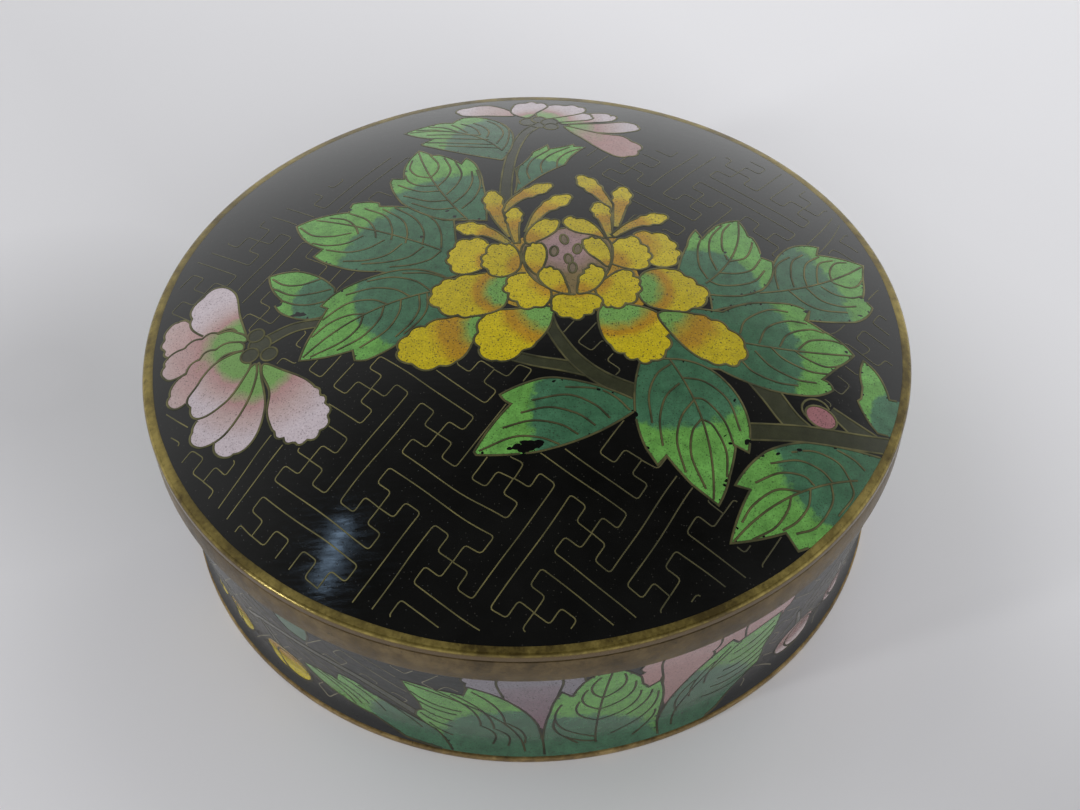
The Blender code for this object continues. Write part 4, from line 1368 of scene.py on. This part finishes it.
WALL_LEAVES = [
    ([(-32.4, 20.6, .1), (-31.6, 27, .1), (-37, 27, .1), (-35.4, 21.6, .06)],
     (-32, 17), (-35, 29), 1.4, None, [], []),
    ([(-19.6, 2, 0), (-8, 1, 0), (-14, 4.5, .04), (-24.2, 12.6, 0), (-25, 13.6, .1),
      (-28.6, 14.4, .05), (-29.4, 11.9, .08), (-35.6, 10.8, .1), (-29, 5, .04), (-25, 4.2, 0)],
     (-13, 3.5), (-35.6, 10.8), .52, None, [],
     [((-34, 11.4), (-27.6, 5), -.12), ((-32, 11.6), (-26.4, 6.2), -.12),
      ((-30, 11.6), (-25, 7.4), -.12), ((-28.2, 13.8), (-22.4, 7), -.1),
      ((-25.6, 13.2), (-17, 5), -.08)]),
    ([(-12, 1, 0), (1.2, 1, 0), (.5, 5, .0), (0, 10, .05), (-3.5, 18, .08), (-9, 22.4, 0),
      (-9.8, 19.4, .06), (-13.5, 20, .05), (-18, 20.7, .04), (-16.6, 15, 0), (-16.2, 12, .1),
      (-17.5, 9.3, .06), (-15, 5.5, 0)],
     (-1, 2), (-18, 20.6), .54, ((-2, 2.4), (-17.6, 20.2), .16), [],
     [((-17.2, 17.6), (-10.4, 13.6), .12), ((-16.9, 15.4), (-11.2, 12.2), .12),
      ((-16.6, 13), (-12, 9.8), .12), ((-16.6, 10.6), (-12.2, 7.6), .12),
      ((-15.6, 7.6), (-12.4, 4.6), .12), ((-13.6, 19.8), (-8, 9.6), -.14),
      ((-11.4, 19.4), (-6.2, 8.6), -.12), ((-8.6, 21), (-4.6, 11), -.1),
      ((-8.2, 9.4), (-6.6, 3.6), -.2), ((-6, 8.4), (-4.4, 3.4), -.18), ((-4.6, 11), (-2, 4), -.14)]),
    ([(17.2, 1, 0), (23, 1, 0), (27, 2.2, 0), (31, 4.8, .03), (34.4, 8, .03), (34.2, 13, .02),
      (35.2, 18, .03), (35, 22.4, .05), (28, 20.8, 0), (26.7, 22.8, .05), (21, 16, .03),
      (18.5, 10, .02)],
     (18, 2), (35, 22.3), .60, ((19.6, 2.6), (28.6, 20.6), -.08), [],
     [((27.8, 17.4), (34.2, 20.6), .12), ((27.6, 15), (34.8, 18.4), .14),
      ((27, 12.8), (34.6, 15.6), .16), ((26.4, 10.8), (34.4, 12.8), .16),
      ((25.6, 8.8), (34.3, 10.2), .16), ((24.4, 6.6), (33.6, 7.4), .14),
      ((22, 9), (24.8, 18), -.12), ((24, 11.6), (26.8, 20.6), -.1), ((20.4, 5.4), (22.2, 14.4), -.14)]),
    ([(.8, 1, 0), (17.4, 1, 0), (17.6, 12, .03), (16.6, 18.9, 0), (15, 17.7, .04),
      (14, 19.5, .02), (13.6, 22, .04), (9.6, 27, .06), (6, 23.6, .03), (4.6, 19.4, 0),
      (3.2, 21.2, .04), (1.7, 15, .02), (.6, 5, 0)],
     (2, -4), (10, 28), .52, ((8.2, 3), (9.7, 26.4), -.02),
     [(3, .3, .62, (14, 17.4), (11.2, 24.4), .05, .2),
      (3, .3, .62, (5.6, 17.4), (8.2, 24.4), -.05, -.2)],
     [((15.6, 16.6), (12.4, 9.8), -.12), ((16.6, 15.4), (10.4, 4.4), -.18),
      ((3.2, 17), (8, 4.4), .22), ((2.4, 12.6), (5.6, 3.4), .16), ((16.8, 9), (13.6, 3), -.16),
      ((8.2, 3.4), (2, 9.6), -.2)]),
]
WALL_STEM = [(-46, 14.6), (-40, 17.6), (-33, 18.2), (-25, 16.4), (-18, 10.6), (-13, 4)]
WALL_BUD_LOOPS = (
    [(-1, 0), (-.8, -.8), (0, -1), (.8, -.85), (1, -.1), (.7, .7), (0, 1), (-.7, .75)],
    [(-.5, -.1), (-.3, -.8), (.3, -.98), (.84, -.78), (.9, -.1), (.5, .55), (-.2, .6)],
)
# How far each group of leaves and petals is moved along the wall, and whether it is mirrored
WALL_GROUPS = ((0, False), (118, True), (-118, True))
# A bud is its kind, its place along and up the wall, its width and height, and how far it leans
WALL_BUDS = [
    ("yellow", -39.9, 6.9, 9, 7.2, 0), ("yellow", -51, 7.4, 6, 8.2, .8),
    ("yellow", -58.4, 7.6, 5, 8.4, 1), ("pink", 42.7, 6.9, 8.8, 6.8, 0),
    ("pink", 53.5, 7.6, 6.4, 8, -.8), ("yellow", 165, 7.2, 8, 7, 0), ("pink", -164, 7.2, 8, 7, 0),
]
WALL_BORDER_STEP = 1.2
WALL_BORDER_ROWS = 20


def draw_wall_group(drawing, shift, flip):
    """A stem with its leaves, and petals that the top of the wall cuts off."""
    stem(drawing, placed(WALL_STEM, shift, flip), 1.3, 1.9)
    for kind, points, base, far, green, pale, scallops in WALL_PETALS:
        loop = placed(points, shift, flip)
        if flip:
            first, last, lobes = scallops
            scallops = (len(points) - 1 - last, len(points) - 1 - first, lobes)
        petal(drawing, kind, loop, moved(base, shift, flip), moved(far, shift, flip), green, pale,
              scallops)
    for row in WALL_LEAVES:
        wall_leaf(drawing, *row, shift, flip)


def draw_wall_bud(drawing, kind, x, height, width, rise, lean):
    """A squat bud, full below and narrower above, with a petal in front and a short stem."""
    def place(along, up):
        return x + along * width / 2 + lean * up, height + up * rise / 2

    top, end = place(-.2, 1.6), place(.5, -1.1)
    stem(drawing, [place(-.5, 2.6), place(-.3, 1.8), place(-.1, .8)], .8, 1.2)
    for loop in WALL_BUD_LOOPS:
        petal(drawing, kind, [place(*spot) for spot in loop], top, end, .2, .68)


def make_wall_drawing():
    half, low, high, rows = WALL_HALF_LENGTH, WALL_BOTTOM, WALL_TOP, WALL_BORDER_ROWS
    across = round(2 * half / WALL_BORDER_STEP)
    along = np.linspace(-half, half, across + 1)
    up = np.linspace(low, high, rows + 1)
    border = np.vstack([
        np.stack([along[:-1], np.full(across, low)], 1),
        np.stack([np.full(rows, half), up[:-1]], 1),
        np.stack([along[::-1][:-1], np.full(across, high)], 1),
        np.stack([np.full(rows, -half), up[::-1][:-1]], 1),
    ])
    drawing = Drawing(on_wall, border)
    inset = GRID_STEP / 3
    drawing.cells[0]["grid_edge"] = np.array([
        (-half + inset, low + inset), (half - inset, low + inset),
        (half - inset, high - inset), (-half + inset, high - inset),
    ])
    for shift, flip in WALL_GROUPS:
        draw_wall_group(drawing, shift, flip)
    for bud in WALL_BUDS:
        draw_wall_bud(drawing, *bud)
    return drawing


# Making the pieces
def make_enamels(prefix, drawing, materials):
    """One slab for each kind of enamel that shows."""
    plan, triangles, top = arranged(drawing)
    for kind, material in materials.items():
        owners = [i for i, cell in enumerate(drawing.cells) if cell["kind"] == kind]
        rows = np.isin(top, owners)
        if rows.any():
            slab(f"{prefix}_{kind}", drawing, plan, triangles[rows], top[rows], material, "enamel")


def make_wires(prefix, drawing, fret, motif_wire, fret_wire):
    for kind, width in (("motif", MOTIF_WIRE), ("vein", VEIN_WIRE)):
        wire_mesh(f"{prefix}_{kind}_wires", drawing.visible_wires(kind), drawing.surface, width,
                  motif_wire, "brass")
    wire_mesh(f"{prefix}_fret_wires", fret, drawing.surface, FRET_WIRE, fret_wire, "brass")


def round_corner(x, y, radius, start):
    """Points round a centre, from an angle until they are level with it."""
    angles = np.linspace(start, 0, ROUND_STEPS)
    return [(x + radius * math.cos(a), y + radius * math.sin(a)) for a in angles]


def worn_side(radius, top, bottom, top_wear, bottom_wear):
    """The outside of a band from top to bottom, with both its corners worn."""
    upper = [(radius - inward, top - down) for inward, down in top_wear]
    return upper + [(radius - inward, bottom + up) for inward, up in bottom_wear]


def make_lid_core(material):
    """The lid's copper and inner enamel under the cells, thick enough to be the whole wall."""
    outer = SPHERE_RADIUS - ENAMEL_DEPTH - CORE_GAP
    inner = SPHERE_RADIUS - LID_WALL
    section = []
    for radius, order in ((outer, 1), (inner, -1)):
        end = math.asin(DOME_RADIUS / radius)
        angles = np.linspace(end, DOME_MIDDLE, DOME_STEPS)[::order]
        section += [(radius * math.sin(a), SPHERE_CENTRE + radius * math.cos(a)) for a in angles]
    turned("lid_core", section[::-1], material, "enamel", "lid_shell")


def edge_radius(angle):
    """How far the lid's enamel goes from the axis."""
    x, y = EDGE_CENTRE
    across, up = math.cos(angle), math.sin(angle)
    uneven = sum(share * noise.noise(Vector((waves * across, waves * up, level)))
                 for waves, share, level in EDGE_WAVES)
    return EDGE_RADIUS + x * across + y * up + EDGE_WANDER * uneven


def make_lid_ring(material):
    """The lid's brass ring: its top carries on the dome's slope from the enamel's edge."""
    slope = math.tan(math.asin(DOME_RADIUS / SPHERE_RADIUS))
    inner = DOME_RADIUS + CORE_GAP
    flange_outer = LID_RADIUS - FLANGE_INSET
    flange_inner = flange_outer - FLANGE_WIDTH
    ring_bottom = BAND_TOP + RING_GAP
    corner = DOME_EDGE - (LID_RADIUS - inner) * slope
    section = [
        (inner, ring_bottom - RING_BEVEL), (flange_inner, ring_bottom - FLANGE_ROOT),
        (flange_inner, FLANGE_BOTTOM), (flange_outer, FLANGE_BOTTOM), (flange_outer, ring_bottom),
        (LID_RADIUS - RING_BEVEL, ring_bottom), (LID_RADIUS, ring_bottom + RING_BEVEL),
        *round_corner(LID_RADIUS - RING_ROUND, corner - RING_ROUND * RING_ROUND_DROP, RING_ROUND,
                      math.radians(RING_ROUND_ANGLE))[::-1],
        (inner, DOME_EDGE),
    ]

    def reshape(i, angle, place):
        if i not in (0, len(section) - 1):
            return place
        shift = edge_radius(angle) + CORE_GAP - inner
        return place[0] + shift, place[1] - (shift * slope if i else 0)

    turned("lid_ring", section, material, "brass", "lid_rim", reshape=reshape)


def make_band(material):
    inner = LID_RADIUS - BAND_WIDTH
    seat = BAND_BOTTOM + SEAT_HEIGHT
    section = [
        (inner, BAND_TOP),
        *worn_side(LID_RADIUS, BAND_TOP, BAND_BOTTOM, BAND_TOP_WEAR, BAND_BOTTOM_WEAR),
        (WALL_TOP_RADIUS - BASE_WALL, BAND_BOTTOM), (WALL_TOP_RADIUS - BASE_WALL, seat),
        (inner, seat),
    ]
    turned("mouth_band", section[::-1], material, "brass", "base_rim")


def make_foot(material):
    inner = FOOT_RADIUS - FOOT_WIDTH
    side = worn_side(FOOT_RADIUS, FOOT_TOP, 0, FOOT_TOP_WEAR, FOOT_BOTTOM_WEAR)
    section = [(inner, FOOT_TOP), *side, (inner, 0)]
    turned("foot_edge", section[::-1], material, "brass", "foot_ring")


def make_base_core(material):
    """The bowl behind the wall's cells, with its floor and bottom."""
    inset = ENAMEL_DEPTH + CORE_GAP
    heights = np.linspace(WALL_TOP, WALL_BOTTOM, WALL_STEPS)
    outer = [(float(wall_radius(z)) - inset, float(z)) for z in heights]
    floor = WALL_BOTTOM + BASE_WALL
    corner_radius = float(wall_radius(WALL_BOTTOM + COVE_HEIGHT)) - BASE_WALL
    fillet = round_corner(corner_radius - FLOOR_FILLET, floor + FLOOR_FILLET, FLOOR_FILLET, -math.pi / 2)
    section = [(AXIS_GAP, floor), *fillet, (WALL_TOP_RADIUS - BASE_WALL, WALL_TOP), *outer,
               (AXIS_GAP, WALL_BOTTOM)]
    turned("base_core", section, material, "enamel", "base_shell")


# The stage

# The sky's light is given by how steeply it is seen: bright low down and dark overhead. Each
# further change of light is from where to where it goes, and the light at both ends.
SKY = [(0.0, 1.4), (0.3, 1.03), (0.6, 0.75), (0.76, 0.38), (0.87, 0.13), (0.94, 0.05)]
SKY_TINT = (0.99, 1.0, 1.005)
SKY_FRONT = (-0.6, 0.2, 0.8, 1)
SKY_RIGHT = (0.18, 0.42, 1, 1.3)
SKY_GAP = (0.3, 0.42, 0.856)
SKY_GAP_LIGHT = (0.9, 0.965, 1, 0.3)
TABLE_REACH = 4.0
# Painted light in the table's colour: lighter toward the back right, from where to where, and the light
# at both ends
TABLE_PAINTED_LIGHT_TOWARD = (1.0, 0.7, 0.0)
TABLE_PAINTED_LIGHT_RANGE = (-0.02, 0.12, 0.95, 1.2)
# Painted shade on the table: where its colour is darker, as shadow, and the change of light around that
# place
TABLE_PAINTED_SHADE_PLACES = (
    ((-0.085, 0.022, 0.0), (0.008, 0.042, 0.77, 1)),
    ((0.08, -0.075, 0.0), (0.0, 0.05, 0.72, 1)),
)
# Lights that the glaze doesn't mirror: name, place, width, height and power
SOFT_LIGHTS = (
    ("left_light", (-.75, .4, .8), .8, .8, 2.4), ("back_light", (.6, .8, .8), .9, .9, 3.4),
    ("front_light", (.1, -1.0, .55), 1.0, .5, 3.2),
)


def make_floor():
    """A pale table whose colour carries painted light: lighter toward the back right, with painted shade
    in two places.
    """
    nodes = material_nodes("pale_table")
    light = nodes.range(nodes.vector("DOT_PRODUCT", nodes.place, TABLE_PAINTED_LIGHT_TOWARD), *TABLE_PAINTED_LIGHT_RANGE)
    # Painted shade in the table's colour, darker around each place
    for place, change in TABLE_PAINTED_SHADE_PLACES:
        away = nodes.vector("DISTANCE", nodes.place, place)
        light = nodes.math("MULTIPLY", light, nodes.range(away, *change))
    colour = nodes.ramp(nodes.noise(3, 4), [(0.35, (220, 219, 222)), (0.65, (225, 224, 227))])
    colour = nodes.mix(1.0, colour, light, "MULTIPLY")
    material = nodes.finish(Base_Color=colour, Roughness=0.55)
    corners = [(x * TABLE_REACH, y * TABLE_REACH, 0) for x, y in ((-1, -1), (1, -1), (1, 1), (-1, 1))]
    mesh = new_mesh("table", corners, [(0, 1, 2, 3)])
    mesh.materials.append(material)
    table = bpy.data.objects.new("table", mesh)
    bpy.context.scene.collection.objects.link(table)


def make_world():
    """A sky that greys the black enamel at the back, most of all on the right, but for a dark gap."""
    world = bpy.data.worlds.new("studio")
    bpy.context.scene.world = world
    nodes = Nodes(world, "Background", "Generated")
    way = nodes.node("ShaderNodeSeparateXYZ", {0: nodes.place}).outputs
    lights = [(steepness, [light * share for share in SKY_TINT]) for steepness, light in SKY]
    colour = nodes.light_ramp(way["Z"], lights)
    toward_gap = nodes.vector("DOT_PRODUCT", nodes.place, SKY_GAP)
    strength = 1
    for source, change in ((way["Y"], SKY_FRONT), (way["X"], SKY_RIGHT), (toward_gap, SKY_GAP_LIGHT)):
        strength = nodes.math("MULTIPLY", strength, nodes.range(source, *change))
    nodes.finish(Color=colour, Strength=strength)


def soft_light(name, place, target, width, height, power, colour=(1, 1, 1)):
    light = bpy.data.lights.new(name, "AREA")
    light.shape = "RECTANGLE"
    light.size, light.size_y = width, height
    light.energy = power
    light.color = colour
    lamp = bpy.data.objects.new(name, light)
    lamp.location = place
    lamp.rotation_euler = (Vector(target) - lamp.location).to_track_quat("-Z", "Y").to_euler()
    bpy.context.scene.collection.objects.link(lamp)
    return lamp


def make_lights():
    """Broad light that the glaze doesn't mirror, a small window and a glint for the brass edge."""
    for name, place, width, height, power in SOFT_LIGHTS:
        soft_light(name, place, (0, 0, 0), width, height, power).visible_glossy = False
    soft_light("window", (-.79, .26, 1.78), (-.03, -.042, .03), .3, .06, .3, (.5, .72, 1))
    soft_light("edge_glint", (-.76, -.37, .33), (0, 0, .03), .06, .3, 1.6)


def make_camera():
    """The photograph's camera: aimed at a point over the box, then turned a little each way."""
    elevation = math.radians(VIEW_ELEVATION)
    target = Vector((0, 0, VIEW_CENTRE_HEIGHT)) * MM
    offset = Vector((0, -math.cos(elevation), math.sin(elevation))) * VIEW_DISTANCE * MM
    forward = -offset.normalized()
    right = Vector((1, 0, 0))
    up = right.cross(forward)
    view = Matrix((right, up, forward))
    turn_y = Matrix.Rotation(math.radians(VIEW_YAW), 3, "Y")
    turn_x = Matrix.Rotation(math.radians(VIEW_PITCH), 3, "X")
    turn_z = Matrix.Rotation(math.radians(VIEW_ROLL), 3, "Z")
    view = turn_z @ turn_x @ turn_y @ view
    to_blender = Matrix(((1, 0, 0), (0, 1, 0), (0, 0, -1)))
    rotation = (to_blender @ view).transposed()
    camera = bpy.data.objects.new("camera", bpy.data.cameras.new("camera"))
    camera.data.lens = VIEW_LENS
    camera.data.sensor_width = VIEW_FRAME
    camera.data.clip_start = VIEW_NEAREST
    camera.matrix_world = Matrix.Translation(target + offset) @ rotation.to_4x4()
    bpy.context.scene.collection.objects.link(camera)
    bpy.context.scene.camera = camera


def enamel_set(prefix, pink_stops, painted_shade_factor=1.0):
    """The enamels of one part. Its last argument darkens them all but the black, as painted shade; the
    yellow gets half of it.
    """
    kinds = {
        "stem": dict(stops=STEM_STOPS, pits=.4),
        "leaf": dict(stops=LEAF_STOPS, wander=.13, wander_size=1.3, mottle=.28, grain=.18, pits=.6),
        "pink": dict(stops=pink_stops, wander=.12, wander_size=2, mottle=.05, pits=.45),
        "lavender": dict(stops=LAVENDER_STOPS, wander_size=2, mottle=.08, pits=.8),
        "yellow": dict(stops=YELLOW_STOPS, wander=.16, wander_size=1.6, mottle=.12, grain=.26, pits=.9),
        "pod": dict(stops=POD_STOPS, wander=.3, mottle=.2, pits=.6),
        "seed": dict(stops=SEED_STOPS, pits=.3),
    }
    kinds["yellow"]["painted_shade_factor"] = (1 + painted_shade_factor) / 2
    return {kind: enamel(f"{prefix}_{kind}_enamel", **{"painted_shade_factor": painted_shade_factor, **settings})
            for kind, settings in kinds.items()}


def main():
    lid_enamels = {"ground": black_enamel("lid_black_enamel", 0.08), **enamel_set("lid", PINK_STOPS)}
    # The wall's enamels are the lid's, with painted shade that darkens them
    wall_enamels = {"ground": black_enamel("wall_black_enamel", 0.3),
                    **enamel_set("wall", WALL_PINK_STOPS, 0.74)}
    # The first colour of each wire is its edge, painted darker as shade where the enamel has shrunk back
    motif_wire = wire_brass("motif_wire", (34, 36, 24), (66, 66, 44), (108, 104, 66))
    fret_wire = wire_brass("fret_wire", (50, 48, 32), (104, 100, 66), (138, 130, 82), PAINTED_GLINT_SPOT)
    # The wall's motif wires: the lid's brass painted darker, as shade on the wall
    wall_shaded_wire = wire_brass("wall_shaded_wire", (26, 26, 20), (46, 44, 32), (74, 70, 46))
    grey_wire = wire_brass("grey_wire", (72, 70, 60), (116, 112, 96), (140, 134, 114))
    inside_enamel = counter_enamel()
    foot_brass = old_brass("foot_brass", (92, 74, 44), (128, 106, 64), (164, 140, 90))
    ring_brass = old_brass("ring_brass", (76, 64, 30), (112, 98, 48), (144, 128, 68), (98, 82, 58))
    band_brass = old_brass("band_brass", (70, 58, 38), (92, 77, 51), (114, 97, 66))

    lid = make_lid_drawing()
    lid_paths = fret_paths(FRET_ORIGIN, LID_FRET_REACH, FRET_DRIFT)
    make_enamels("lid", lid, lid_enamels)
    make_wires("lid", lid, clear_fret(lid, lid_paths, on_lid_fret), motif_wire, fret_wire)
    make_lid_core(inside_enamel)
    make_lid_ring(ring_brass)

    wall = make_wall_drawing()
    wall_paths = fret_paths(WALL_FRET_ORIGIN, WALL_FRET_REACH)
    make_enamels("wall", wall, wall_enamels)
    make_wires("wall", wall, clear_fret(wall, wall_paths, on_wall_fret), wall_shaded_wire, grey_wire)
    make_base_core(inside_enamel)
    make_band(band_brass)
    make_foot(foot_brass)

    make_floor()
    make_world()
    make_lights()
    make_camera()
    bpy.context.scene.view_settings.view_transform = "Standard"


main()
